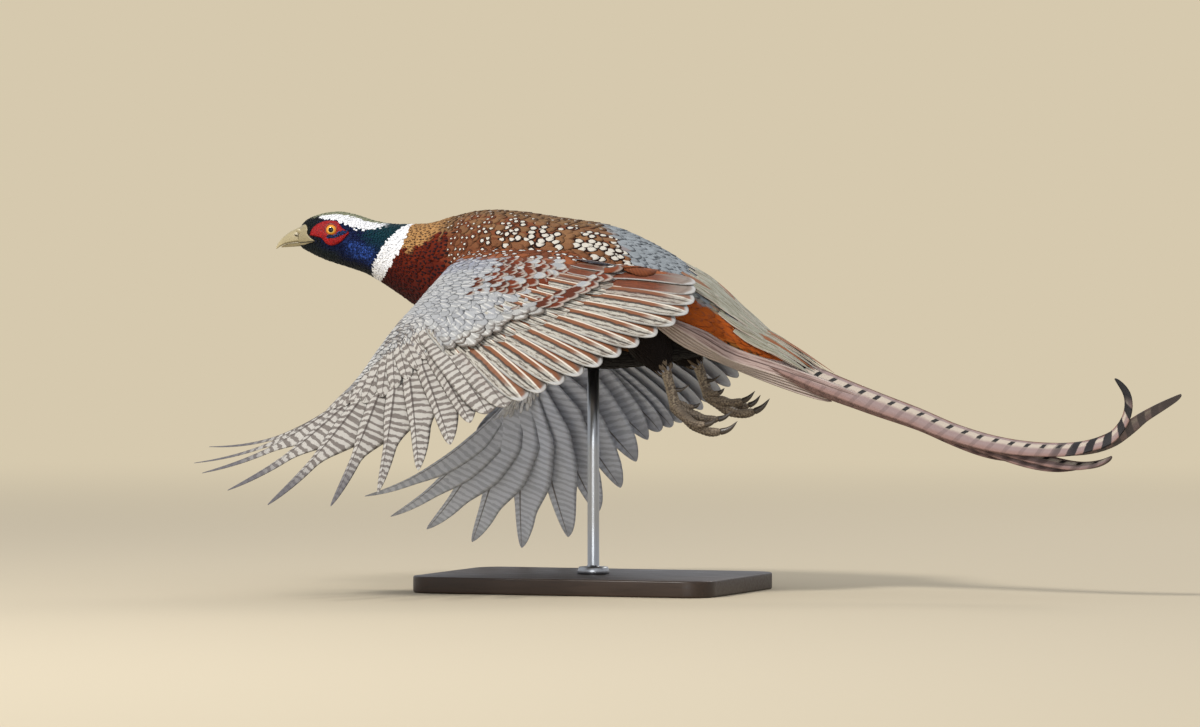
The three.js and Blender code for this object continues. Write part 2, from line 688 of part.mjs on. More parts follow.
function standBase() {
  const corner = 24;
  const shape = new THREE.Shape();
  const [w, d] = [BASE_LENGTH / 2 - 1.5, BASE_WIDTH / 2 - 1.5];
  shape.moveTo(-w + corner, -d);
  shape.lineTo(w - corner, -d);
  shape.absarc(w - corner, -d + corner, corner, -Math.PI / 2, 0);
  shape.lineTo(w, d - corner);
  shape.absarc(w - corner, d - corner, corner, 0, Math.PI / 2);
  shape.lineTo(-w + corner, d);
  shape.absarc(-w + corner, d - corner, corner, Math.PI / 2, Math.PI);
  shape.lineTo(-w, -d + corner);
  shape.absarc(-w + corner, -d + corner, corner, Math.PI, 1.5 * Math.PI);
  const plate = new THREE.ExtrudeGeometry(shape, {
    depth: BASE_THICK - 3, bevelEnabled: true, bevelThickness: 1.5, bevelSize: 1.5, bevelSegments: 1, curveSegments: 4,
  });
  plate.translate(0, 0, 1.5);
  return solidOf(plate);
}

function standRod(torso) {
  const height = 215;
  const rod = new THREE.CylinderGeometry(ROD_RADIUS, ROD_RADIUS, height, 20);
  rod.rotateX(Math.PI / 2);
  rod.translate(ROD_AT.x, ROD_AT.y, BASE_THICK + GAP + height / 2);
  const foot = new THREE.CylinderGeometry(ROD_RADIUS + 7, ROD_RADIUS + 9, 6, 24);
  foot.rotateX(Math.PI / 2);
  foot.translate(ROD_AT.x, ROD_AT.y, BASE_THICK + GAP + 3);
  return largest(solidOf(rod).add(solidOf(foot)).subtract(torso));
}

// Assembly
const FINISHES = {
  plumage: { color: 0x7a4a2c, roughness: 0.75 },
  copper: { color: 0x5c1a0a, roughness: 0.6 },
  ring: { color: 0xf0f0ee, roughness: 0.8 },
  dark: { color: 0x12263a, roughness: 0.45 },
  horn: { color: 0xc0b18b, roughness: 0.4 },
  wattle: { color: 0xb51919, roughness: 0.55 },
  iris: { color: 0xd98a2a, roughness: 0.1 },
  wing: { color: 0xb9b7b3, roughness: 0.75 },
  tail: { color: 0xbaa89f, roughness: 0.75 },
  thigh: { color: 0x20140f, roughness: 0.8 },
  scale: { color: 0x8a7d68, roughness: 0.55 },
  claw: { color: 0x2e2824, roughness: 0.35 },
  stand: { color: 0x1d1d1f, roughness: 0.5 },
  rod: { color: 0x8f9296, roughness: 0.3, metalness: 0.9 },
};

const pheasant = new THREE.Group();

function add(name, solid, finish) {
  const mesh = new THREE.Mesh(geometryOf(solid), new THREE.MeshStandardMaterial(FINISHES[finish]));
  mesh.name = name;
  pheasant.add(mesh);
}

const torsoGrown = bodyLoft(NECK_BACK - 1, TORSO_BACK + 1, 14, GAP + 0.15);
const neckGrown = bodyLoft(COLLAR_BACK, NECK_BACK, 5, GAP + 0.15);
const tailBlockGrown = bodyLoft(TORSO_BACK, 168, 5, GAP + 0.1, 14);

add("torso", bodyLoft(NECK_BACK + GAP, TORSO_BACK, 14), "plumage");
add("neck", bodyLoft(COLLAR_BACK + GAP, NECK_BACK, 5), "copper");
add("collar", bodyLoft(COLLAR_FRONT, COLLAR_BACK, 2), "ring");
add("head", headSolid(), "dark");
add("bill_upper", cutBy(billSolid(BILL_UPPER, BILL_LENGTH, 8), [nostril(-1), nostril(1)]), "horn");
add("bill_lower", billSolid(BILL_LOWER, 17, 6), "horn");
for (const [name, side] of [["left", -1], ["right", 1]]) {
  const leg = LEGS[name];
  add(`eye_${name}`, ball(eyePlace(side), EYE_RADIUS, 14, 9), "iris");
  add(`wattle_${name}`, wattleSolid(side, headSolid(GAP)), "wattle");
  const frame = wingFrame(side);
  add(`wing_${name}_inner`, innerWing(frame, [torsoGrown, neckGrown, tailBlockGrown]), "wing");
  add(`wing_${name}_hand`, handWing(frame), "wing");
  add(`thigh_${name}`, thighSolid(leg, torsoGrown), "thigh");
  add(`tarsus_${name}`, tarsusSolid(leg), "scale");
  add(`foot_${name}`, footSolid(leg), "scale");
  for (const [toeName, toe] of Object.entries(TOES)) add(`claw_${name}_${toeName}`, clawSolid(leg, toe), "claw");
}
add("tail", tailSolid([torsoGrown]), "tail");
add("stand_base", standBase(), "stand");
add("stand_rod", standRod(torsoGrown), "rod");

export default pheasant;
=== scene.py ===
# A cock pheasant in flapping flight, held over a base by a rod. Lengths in millimetres until a mesh is made.
import math

import bpy
import numpy as np
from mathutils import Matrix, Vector


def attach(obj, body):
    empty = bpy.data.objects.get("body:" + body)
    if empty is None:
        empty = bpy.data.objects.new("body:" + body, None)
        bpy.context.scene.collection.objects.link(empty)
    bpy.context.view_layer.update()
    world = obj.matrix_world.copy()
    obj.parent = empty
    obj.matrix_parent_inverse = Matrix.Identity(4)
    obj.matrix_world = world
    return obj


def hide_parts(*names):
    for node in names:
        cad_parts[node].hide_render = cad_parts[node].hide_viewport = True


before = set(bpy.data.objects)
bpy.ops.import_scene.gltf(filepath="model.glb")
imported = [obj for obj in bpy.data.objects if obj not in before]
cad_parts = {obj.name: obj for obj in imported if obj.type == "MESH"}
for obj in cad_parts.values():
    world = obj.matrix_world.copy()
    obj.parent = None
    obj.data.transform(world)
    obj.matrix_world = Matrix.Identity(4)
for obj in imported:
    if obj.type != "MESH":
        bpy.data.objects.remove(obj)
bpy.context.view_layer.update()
rng = np.random.default_rng(7)
scene = bpy.context.scene

# Camera: level with the bird, a little behind its left side, through a long lens
cameraPlan = {
    "yaw": math.radians(20.0), "rise": math.radians(1.4), "away": 7.08, "aim": (0.0, 0.0, 0.193), "lens": 250,
}


def placeCamera(yaw, rise, away, aim, lens):
    data = bpy.data.cameras.new("camera")
    data.lens, data.sensor_width, data.clip_end = lens, 36, 200
    camera = bpy.data.objects.new("camera", data)
    scene.collection.objects.link(camera)
    back = Vector((math.sin(yaw) * math.cos(rise), -math.cos(yaw) * math.cos(rise), math.sin(rise)))
    camera.location = Vector(aim) + back * away
    camera.rotation_mode = "QUATERNION"
    camera.rotation_quaternion = (-back).to_track_quat("-Z", "Y")
    scene.camera = camera


placeCamera(**cameraPlan)


# Numbers and curves

def tint(red, green, blue):
    # a colour given as 0-255 display values, turned linear
    channels = np.array([red, green, blue], float) / 255
    return np.where(channels <= 0.04045, channels / 12.92, ((channels + 0.055) / 1.055) ** 2.4)


def tones(**colours):
    return {key: tint(*value) for key, value in colours.items()}


def smooth(a, b, x):
    t = np.clip((np.asarray(x, float) - a) / (b - a), 0, 1)
    return t * t * (3 - 2 * t)


def mix(a, b, t):
    return a + (b - a) * t


def unit(v):
    return v / np.maximum(np.linalg.norm(v, axis=-1, keepdims=True), 1e-9)


def hermite(a, b, slopeA, slopeB, t):
    # the cubic from a to b with given slopes at both ends
    ends = a * (2 * t**3 - 3 * t**2 + 1) + b * (3 * t**2 - 2 * t**3)
    return ends + slopeA * (t**3 - 2 * t**2 + t) + slopeB * (t**3 - t**2)


def tableAt(rows, x):
    # cubic segments through a table's rows: the first column against the others
    rows, x = np.asarray(rows, float), np.asarray(x, float)
    i = np.clip(np.searchsorted(rows[:, 0], x, side="right") - 1, 0, len(rows) - 2)
    a, b = rows[i], rows[i + 1]
    before, after = rows[np.maximum(i - 1, 0)], rows[np.minimum(i + 2, len(rows) - 1)]
    span = (b[..., 0] - a[..., 0])[..., None]
    t = np.clip((x - a[..., 0])[..., None] / span, 0, 1)
    slopeA = (b - before) / (b[..., :1] - before[..., :1]) * span
    slopeB = (after - a) / (after[..., :1] - a[..., :1]) * span
    return hermite(a, b, slopeA, slopeB, t)[..., 1:]


def columnsAt(rows, x):
    return np.moveaxis(tableAt(rows, x), -1, 0)


def columnAt(rows, x):
    return tableAt(rows, x)[..., 0]


def centripetal(points, u):
    # a centripetal Catmull-Rom curve through the points, u from 0 to 1 evenly by point
    points = np.asarray(points, float)
    ends = np.vstack([2 * points[0] - points[1], points, 2 * points[-1] - points[-2]])
    place = np.clip(np.asarray(u, float), 0, 1) * (len(points) - 1)
    i = np.minimum(place.astype(int), len(points) - 2)
    p = [ends[i + k] for k in range(4)]
    gap0, gap1, gap2 = (np.sqrt(np.linalg.norm(p[k + 1] - p[k], axis=-1, keepdims=True)) for k in range(3))
    middle = (p[2] - p[1]) / gap1
    slope1 = ((p[1] - p[0]) / gap0 - (p[2] - p[0]) / (gap0 + gap1) + middle) * gap1
    slope2 = (middle - (p[3] - p[1]) / (gap1 + gap2) + (p[3] - p[2]) / gap2) * gap1
    return hermite(p[1], p[2], slope1, slope2, (place - i)[..., None])


def runOf(points):
    # distance along a polyline at each of its points
    return np.concatenate([[0], np.cumsum(np.linalg.norm(np.diff(points, axis=0), axis=1))])


def evenly(points, count):
    # the same polyline with points evenly spaced along it
    run = runOf(points)
    at = np.linspace(0, run[-1], count)
    return np.stack([np.interp(at, run, column) for column in np.transpose(points)], 1)


def smoothLine(points, fine, count):
    # the centripetal curve read at many places, then spaced evenly
    return evenly(centripetal(points, np.linspace(0, 1, fine)), count)


def closedRim(outline, fine, count):
    # a smooth closed outline at evenly spaced points
    return smoothLine(np.vstack([outline, outline[:1]]), fine, count + 1)[:-1]


def turnSteps(count):
    return np.linspace(0, 2 * np.pi, count, endpoint=False)


# Meshes

attributeKinds = {
    1: ("FLOAT", "FACE", "value"), 3: ("FLOAT_VECTOR", "POINT", "vector"), 4: ("FLOAT_COLOR", "POINT", "color"),
}


def makePiece(name, verts, faces, material, attributes, uv, replaces=(), flat=None):
    # verts in mm (n, 3), faces a list of equal-width index arrays; uv and attributes are per vertex, or 1-D per face
    mesh = bpy.data.meshes.new(name)
    loops = np.concatenate([block.ravel() for block in faces]).astype(np.int32)
    sizes = np.concatenate([np.full(len(block), block.shape[1], np.int32) for block in faces])
    mesh.vertices.add(len(verts))
    mesh.loops.add(len(loops))
    mesh.polygons.add(len(sizes))
    mesh.vertices.foreach_set("co", (np.asarray(verts) * 0.001).astype(np.float32).ravel())
    mesh.loops.foreach_set("vertex_index", loops)
    mesh.polygons.foreach_set("loop_start", np.concatenate([[0], np.cumsum(sizes)[:-1]]).astype(np.int32))
    mesh.polygons.foreach_set("use_smooth", np.full(len(sizes), True) if flat is None else ~flat)
    for key, values in attributes.items():
        values = np.asarray(values, np.float32)
        kind, domain, field = attributeKinds[values.shape[1] if values.ndim > 1 else 1]
        mesh.attributes.new(key, kind, domain).data.foreach_set(field, values.ravel())
    layer = mesh.uv_layers.new(name="OFBake")
    layer.data.foreach_set("uv", np.asarray(uv, np.float32)[loops].ravel())
    mesh.materials.append(material)
    mesh.update(calc_edges=True)
    piece = bpy.data.objects.new(name, mesh)
    scene.collection.objects.link(piece)
    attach(piece, "root")
    if replaces:
        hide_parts(*replaces)


def gridFaces(rows, columns, wrap=False, loop=False):
    # quads between neighbouring points of a grid; wrap closes it across, loop along it
    i, k = np.meshgrid(
        np.arange(rows if loop else rows - 1), np.arange(columns if wrap else columns - 1), indexing="ij"
    )
    here, below, after = i * columns, (i + 1) % rows * columns, (k + 1) % columns
    return np.stack([here + k, here + after, below + after, below + k], -1).reshape(-1, 4)


def turnFaces(faces):
    return [block[..., ::-1] for block in faces]


def closeRings(rings, hubs=None):
    # rings (rows, columns, 3) as one closed body: quads between them, and a fan round a hub at each end
    rows, columns = rings.shape[:2]
    if hubs is None:
        hubs = rings[[0, -1]].mean(1)
    ring, last, hub = np.arange(columns), (rows - 1) * columns, np.full(columns, rows * columns)
    after = (ring + 1) % columns
    fans = np.vstack([np.stack([hub, after, ring], 1), np.stack([hub + 1, last + ring, last + after], 1)])
    return np.vstack([rings.reshape(-1, 3), hubs]), [gridFaces(rows, columns, wrap=True), fans]


def tubeMesh(centres, radii, sides, up=(0, 0, 1), flatten=1.0):
    # rings round a path: the side and the top of each, times cosine and sine of the turn round it
    along = unit(np.gradient(centres, axis=0))
    side = unit(np.cross(along, up))
    top = np.cross(side, along)
    angle = turnSteps(sides)[:, None]
    around = side[:, None] * np.cos(angle) + top[:, None] * np.sin(angle) * flatten
    verts, faces = closeRings(centres[:, None] + np.asarray(radii)[:, None, None] * around, centres[[0, -1]])
    return verts, turnFaces(faces)


def outwards(verts, faces):
    # turns the faces of one closed body outwards: the signed volume of its fans tells which way they lie
    volume = 0.0
    for block in faces:
        for k in range(1, block.shape[1] - 1):
            a, b, c = (verts[block[:, j]] for j in (0, k, k + 1))
            volume += np.sum(a * np.cross(b, c))
    return faces if volume > 0 else turnFaces(faces)


# Shader helpers

class Wire:
    # what a node gives out; sums and products of wires make maths nodes
    def __init__(self, socket):
        self.socket, self.tree = socket, socket.id_data

    # named operations: SINE, MAXIMUM and the like
    def math(self, operation, *others):
        return addNode(self.tree, "Math", enumerate((self, *others)), operation=operation)

    def __add__(self, other):
        return self.math("ADD", other)

    def __sub__(self, other):
        return self.math("SUBTRACT", other)

    def __mul__(self, other):
        return self.math("MULTIPLY", other)

    def __truediv__(self, other):
        return self.math("DIVIDE", other)

    def __abs__(self):
        return self.math("ABSOLUTE")

    def step(self, low, high, toLow=0.0, toHigh=1.0):
        # smooth step from low to high
        names = ("Value", "From Min", "From Max", "To Min", "To Max")
        inputs = zip(names, (self, low, high, toLow, toHigh))
        return addNode(self.tree, "MapRange", inputs, "Result", interpolation_type="SMOOTHSTEP")

    def split(self):
        node = self.tree.nodes.new("ShaderNodeSeparateXYZ")
        put(node.inputs[0], self)
        return [Wire(output) for output in node.outputs]


def put(socket, value):
    if isinstance(value, Wire):
        value.tree.links.new(value.socket, socket)
    elif np.ndim(value) and len(socket.default_value) == 4 and len(value) == 3:
        socket.default_value = (*value, 1.0)
    else:
        socket.default_value = value


def addNode(tree, kind, inputs, output=0, **settings):
    node = tree.nodes.new("ShaderNode" + kind)
    for key, value in settings.items():
        setattr(node, key, value)
    for key, value in inputs:
        put(node.inputs[key], value)
    return Wire(node.outputs[output])


def read(tree, name, part="Vector"):
    return addNode(tree, "Attribute", (), part, attribute_name=name)


def objectPlace(tree):
    return addNode(tree, "TexCoord", (), "Object")


def combine(*parts):
    tree = next(part.tree for part in parts if isinstance(part, Wire))
    return addNode(tree, "CombineXYZ", enumerate(parts))


def blend(factor, a, b, mode="MIX"):
    tree = next(value.tree for value in (factor, a, b) if isinstance(value, Wire))
    return addNode(tree, "Mix", ((0, factor), (6, a), (7, b)), 2, data_type="RGBA", blend_type=mode)


def layers(colour, *coats):
    # colours laid over one another, each by its mask
    for mask, over in coats:
        colour = blend(mask, colour, over)
    return colour


def shaded(colour, light):
    return blend(1.0, colour, combine(light, light, light), "MULTIPLY")


def noise(place, scale, detail=2.0, roughness=0.5, distortion=0.0):
    place = place if isinstance(place, Wire) else combine(*place)
    names = ("Vector", "Scale", "Detail", "Roughness", "Distortion")
    return addNode(place.tree, "TexNoise", zip(names, (place, scale, detail, roughness, distortion)))


def cells(place, scale, randomness=1.0):
    inputs = (("Vector", place), ("Scale", scale), ("Randomness", randomness))
    return addNode(place.tree, "TexVoronoi", inputs, "Distance")


def bump(height, strength, distance):
    inputs = (("Height", height), ("Strength", strength), ("Distance", distance))
    return addNode(height.tree, "Bump", inputs)


def makeMaterial(name, look, roughness=0.6, specular=0.3):
    # look takes the node tree and gives the shader's inputs
    material = bpy.data.materials.new(name)
    material.use_nodes = True
    tree = material.node_tree
    inputs = {"Roughness": roughness, "Specular IOR Level": specular, **look(tree)}
    for key, value in inputs.items():
        put(tree.nodes["Principled BSDF"].inputs[key], value)
    return material


def barbGroup():
    # a height of fine slanting barbs: a sine along the feather that lags with distance from the shaft, and noise
    group = bpy.data.node_groups.new("featherBarbs", "ShaderNodeTree")
    for key in ("Across", "Along", "Count"):
        group.interface.new_socket(name=key, in_out="INPUT", socket_type="NodeSocketFloat")
    group.interface.new_socket(name="Height", in_out="OUTPUT", socket_type="NodeSocketFloat")
    across, along, count = (Wire(socket) for socket in group.nodes.new("NodeGroupInput").outputs[:3])
    side = abs(across)
    slanted = along - side * 0.35
    wave = (slanted * (count * 6.283)).math("SINE")
    rough = noise((side, slanted * count, 0.0), 1.7, 2)
    put(group.nodes.new("NodeGroupOutput").inputs["Height"], wave * 0.35 + rough)
    return group


barbs = barbGroup()


def barbHeight(across, along, count):
    inputs = (("Across", across), ("Along", along), ("Count", count))
    return addNode(across.tree, "Group", inputs, "Height", node_tree=barbs)


# Small feathers: each carries its own colours and amounts of edge, spot and bars
featherLook = {
    "barbs": 11.0, "flecks": 3.0, "bars": 30.0, "darkest": 0.88, "sheen": 0.02,
    "spotAt": 0.78, "spotLong": 0.15, "spotWide": 0.55, "spot": (1.15, 0.8), "ring": (3.3, 2.3),
    "streak": (0.2, 0.06), "edge": (0.83, 0.95), "pointed": (0.91, 0.94), "glossTint": (0.5, 0.7, 1.0),
}


def bodyFeatherLook(tree):
    look = featherLook
    across, along, chance = read(tree, "vane").split()
    edgeAmount, spotAmount, barAmount = read(tree, "amount").split()
    base, edge, mark = (read(tree, name, "Color") for name in ("base", "edge", "mark"))
    gloss = read(tree, "base", "Alpha")
    flecks = noise((across, along * 1.6, chance * 50.0), look["flecks"], 3, 0.6) - 0.5
    rim = along + across * across * 0.2 + flecks * 0.16
    side = abs(across)
    bars = (rim * look["bars"]).math("SINE").step(-0.1, 0.5) * barAmount
    streaks = side.step(*look["streak"], 0.0, 0.75) * barAmount.step(-0.2, -0.7)  # where bars are below zero
    spotUp, spotSide = (along - look["spotAt"]) / look["spotLong"], across / look["spotWide"]
    away = spotUp * spotUp + spotSide * spotSide + flecks * 0.7
    away = away / (spotAmount * spotAmount).math("MAXIMUM", 0.05)
    spotted = spotAmount.step(0.05, 0.3)
    # full amounts darken the middle of the tip, lesser ones the whole rim
    pointed = along + 0.2 - side * 0.5
    rimOrTip = (pointed - rim) * edgeAmount.step(*look["pointed"]) + rim
    colour = layers(
        shaded(base, chance * 0.2 + look["darkest"]),
        (bars, edge), (streaks, mark), (away.step(*look["ring"]) * spotted, edge),
        (away.step(*look["spot"]) * spotted, mark), (rimOrTip.step(*look["edge"]) * edgeAmount, edge),
    )
    # barbs in relief, and as painted shade between them in the colour
    height = barbHeight(across, along, look["barbs"])
    return {
        "Base Color": shaded(colour, height * 0.28 + 0.84), "Roughness": gloss * -0.36 + 0.72,
        "Specular IOR Level": gloss * 0.35 + 0.06, "Metallic": gloss * 0.35, "Sheen Weight": look["sheen"],
        "Specular Tint": blend(gloss, (1, 1, 1), blend(0.75, look["glossTint"], base)),
        "Normal": bump(height, 0.35, 0.0004),
    }


def skinLook(tree):
    fine = noise(objectPlace(tree), 900.0, 3)
    return {"Base Color": shaded(read(tree, "base", "Color"), fine * 0.5 + 0.5), "Normal": bump(fine, 0.5, 0.0006)}


bodyFeather, skin = makeMaterial("bodyFeather", bodyFeatherLook), makeMaterial("bodySkin", skinLook, 0.8, 0.2)

# Surfaces that feathers are laid on: a grid of points and normals, read between its points


def makeSheet(points, flip=False, wrap=False):
    # normals are the cross product of the differences along and across the grid
    du = np.gradient(points, axis=0)
    dv = (np.roll(points, -1, 1) - np.roll(points, 1, 1)) / 2 if wrap else np.gradient(points, axis=1)
    return {
        "points": points, "normals": unit(np.cross(du, dv)) * (-1 if flip else 1), "wrap": wrap,
        "stepU": np.linalg.norm(du, axis=-1)[..., None], "stepV": np.linalg.norm(dv, axis=-1)[..., None],
    }


def readSheet(sheet, key, u, v):
    # bilinear between grid points, at u, v in grid steps
    grid = sheet[key]
    rows, columns = grid.shape[:2]
    u = np.clip(u, 0, rows - 1.001)
    v = np.mod(v, columns) if sheet["wrap"] else np.clip(v, 0, columns - 1.001)
    i, k = u.astype(int), np.minimum(v.astype(int), columns - 1)
    after = (k + 1) % columns
    s, t = (u - i)[..., None], (v - k)[..., None]
    return mix(grid[i, k] * (1 - t) + grid[i, after] * t, grid[i + 1, k] * (1 - t) + grid[i + 1, after] * t, s)


vanePlan = {
    "across": np.array([-1, -0.55, 0, 0.55, 1]), "along": np.array([0, 0.3, 0.56, 0.76, 0.91, 1.0]),
    "round": np.array([0.5, 0.92, 1.0, 0.92, 0.66, 0.16]), "narrow": np.array([0.6, 1.0, 0.9, 0.66, 0.4, 0.08]),
    "most": 3400,  # feathers to a piece
}


def layFeathers(sheet, u, v, length, width, turn, rise, shape="round", sink=0.6, arch=0.16):
    # feathers on a sheet: its point at a turned offset of along and across, raised by its normal times a height
    # that climbs along the feather and is arched across it; gives the points and each one's own coordinates
    length, width, turn, rise, u, v = (value[:, None, None] for value in (length, width, turn, rise, u, v))
    stepU, stepV = readSheet(sheet, "stepU", u, v)[..., 0], readSheet(sheet, "stepV", u, v)[..., 0]
    t, s, outline = vanePlan["along"][None, :, None], vanePlan["across"], vanePlan[shape][None, :, None]
    along = length * t + 0 * s
    across = 0.5 * width * outline * s
    atU = u + (along * np.cos(turn) - across * np.sin(turn)) / stepU
    atV = v + (along * np.sin(turn) + across * np.cos(turn)) / stepV
    height = -sink + (rise + sink) * t**0.8 + arch * width * (1 - s * s) * (1 - 0.3 * t)
    points = readSheet(sheet, "points", atU, atV) + readSheet(sheet, "normals", atU, atV) * height[..., None]
    chance = rng.random(len(u))[:, None, None]
    vane = np.stack(np.broadcast_arrays(s, t, chance), -1)
    return points.reshape(len(u), -1, 3), vane.reshape(len(u), -1, 3)


def featherPieces(name, feathers, looks, rootUv):
    # closed vanes: the top of each is its grid, closed below by faces from edge to edge
    points, vane = feathers
    rows, columns = len(vanePlan["along"]), len(vanePlan["across"])
    left = np.arange(rows) * columns
    right = left + columns - 1
    top = gridFaces(rows, columns)
    below = np.stack([left[:-1], left[1:], right[1:], right[:-1]], 1)
    below = np.vstack([below, [[0, 4, 3, 1], [25, 26, 28, 29]]])
    middles = np.array([[1, 3, 2], [26, 27, 28]])
    size = points.shape[1]
    for part, start in enumerate(range(0, len(points), vanePlan["most"])):
        taken = slice(start, start + vanePlan["most"])
        count = len(points[taken])
        shift = (np.arange(count) * size)[:, None, None]
        quads = (np.concatenate([top, below])[None] + shift).reshape(-1, 4)
        triangles = (middles[None] + shift).reshape(-1, 3)
        flat = np.tile(np.arange(len(top) + len(below)) >= len(top), count)
        local = vane[taken].reshape(-1, 3)
        attributes = {key: np.repeat(values[taken], size, axis=0) for key, values in looks.items()}
        uv = np.repeat(rootUv[taken], size, axis=0) + local[:, :2] * [0.0015, 0.003] - [0, 0.0015]
        makePiece(
            f"{name}{part + 1}", points[taken].reshape(-1, 3), [quads, triangles], bodyFeather,
            {"vane": local, **attributes}, uv, flat=np.concatenate([flat, np.full(len(triangles), True)]),
        )
    print(name, len(points), "feathers")


def colourRows(count, colour, alpha=0.0):
    return np.tile(np.append(colour, alpha), (count, 1))


def newLooks(count, base, gloss, edge, mark, edgeAmount):
    looks = {"base": colourRows(count, base, gloss), "edge": colourRows(count, edge), "mark": colourRows(count, mark)}
    return {**looks, "amount": np.tile([edgeAmount, 0.0, 0.0], (count, 1))}


def mark(looks, weight, colour, gloss=None, edge=None, amount=None):
    # one marking: colour and gloss by a weight, the colour of the edges, and the amounts where the weight is high
    paint(looks["base"], weight, colour, gloss)
    if edge is not None:
        paint(looks["edge"], weight, edge)
    if amount is not None:
        looks["amount"][np.asarray(weight) > 0.5] = amount


def paint(rows, weight, colour, alpha=None):
    # blends a colour over the rows by a weight for each
    w = np.asarray(weight, float)[:, None]
    rows[:, :3] = rows[:, :3] * (1 - w) + np.asarray(colour)[None] * w
    if alpha is not None:
        rows[:, 3] = rows[:, 3] * (1 - w[:, 0]) + alpha * w[:, 0]


# Body
bodyPlan = {
    # station, top, bottom, half width, lean
    "sections": [
        [-268, 307.0, 292.0, 7.5, 0.0], [-264, 312.6, 289.2, 11.0, 0.0], [-259, 316.4, 286.6, 14.0, 0.0],
        [-251, 319.4, 282.6, 17.2, 0.0], [-242, 321.4, 279.0, 19.2, 0.0], [-231, 321.8, 275.6, 20.6, 0.0],
        [-219, 319.4, 272.0, 21.6, 0.04], [-206, 314.6, 268.0, 23.0, 0.14], [-193, 312.0, 262.4, 25.0, 0.26],
        [-180, 311.8, 255.0, 27.5, 0.28], [-162, 312.8, 243.0, 34.0, 0.24], [-140, 318.4, 228.0, 43.0, 0.17],
        [-110, 323.6, 211.0, 53.0, 0.09], [-72, 322.4, 197.6, 60.0, 0.03], [-32, 317.0, 190.4, 62.5, 0.0],
        [10, 310.6, 188.2, 61.0, 0.0], [46, 296.0, 191.6, 54.5, 0.0], [78, 277.6, 197.4, 45.0, 0.0],
        [106, 258.2, 200.6, 35.5, 0.0], [130, 237.0, 196.6, 27.0, 0.0], [152, 219.0, 190.0, 19.5, 0.0],
        [172, 206.0, 184.0, 12.0, 0.0],
    ],
    "turn": math.radians(12), "turnFrom": -128.0, "turnTo": -180.0,
    # how far the skin lies under the feathers' outer surface, by station
    "skinIn": ([-268, -240, -190, -150], [0.7, 0.8, 1.0, 1.7]),
    # edges of the collar as height and station, and of the white brow and the golden mantle by station
    "collarFront": [[258, -198], [264, -198.6], [273, -199.2], [280, -197.2], [290, -193.3], [298, -190.7],
                    [306, -185.4], [312, -180.2]],
    "collarBack": [[258, -192], [264, -188], [270, -183.5], [277, -181.4], [286, -177.0], [312, -176.4]],
    "brow": [[-254, 318.8], [-250, 317.6], [-241, 315.0], [-231, 313.2], [-220, 308.2], [-215, 306.9],
             [-207, 306.6], [-195, 309.5], [-186, 311.5]],
    "mantle": [[-180, 0.42], [-165, 0.38], [-150, 0.31], [-138, 0.26], [-122, 0.26], [-110, 0.34], [-60, 0.42],
               [0, 0.5]],
}


def turned(x, y, z):
    # the neck bends to the left on an arc between two stations, and runs straight ahead of it
    turn, turnFrom, turnTo = bodyPlan["turn"], bodyPlan["turnFrom"], bodyPlan["turnTo"]
    reach = turnFrom - turnTo
    angle = turn * np.clip(turnFrom - x, 0, reach) / reach
    ahead = np.maximum(turnTo - x, 0)
    px = np.maximum(x, turnFrom) - reach / turn * np.sin(angle) - np.cos(angle) * ahead
    py = -reach / turn * (1 - np.cos(angle)) - np.sin(angle) * ahead
    return np.stack([px - np.sin(angle) * y, py + np.cos(angle) * y, z + 0 * x], -1)


def bodyPoint(x, angle, grow=0.0):
    # an ellipse at each station; angle 0 is the bird's right side, a quarter turn is its back
    top, bottom, half, lean = columnsAt(bodyPlan["sections"], x)
    up = ((top - bottom) / 2 + grow) * np.sin(angle)
    return turned(x + lean * up, (half + grow) * np.cos(angle), (top + bottom) / 2 + up)


def sideAt(x, z):
    # half the body's width at a station and a height, from the same ellipse
    top, bottom, half, _ = columnsAt(bodyPlan["sections"], x)
    up = (z - (top + bottom) / 2) / ((top - bottom) / 2)
    return half * np.sqrt(np.maximum(0, 1 - up * up))


bodyTones = tones(
    blue=(16, 24, 58), blueEdge=(10, 14, 22), spot=(198, 192, 180), teal=(10, 50, 58), cheek=(58, 92, 178),
    throat=(12, 18, 26), face=(16, 20, 22), chin=(24, 32, 36), brow=(236, 236, 238), cap=(132, 134, 108),
    collar=(240, 240, 242), collarEdge=(240, 240, 240), maroon=(74, 17, 7), maroonLow=(62, 14, 9),
    copper=(112, 38, 11), scale=(22, 10, 16), gold=(176, 132, 82), goldDark=(122, 92, 62), goldEdge=(52, 32, 24),
    chestnut=(112, 64, 40), tan=(128, 92, 62), ring=(34, 18, 14), slate=(140, 146, 150), crescent=(58, 62, 68),
    olive=(134, 132, 112), mauve=(132, 104, 92), flank=(196, 128, 58), flankTip=(28, 18, 16),
    rumpSide=(160, 78, 26), belly=(14, 12, 12), vent=(30, 18, 14),
)


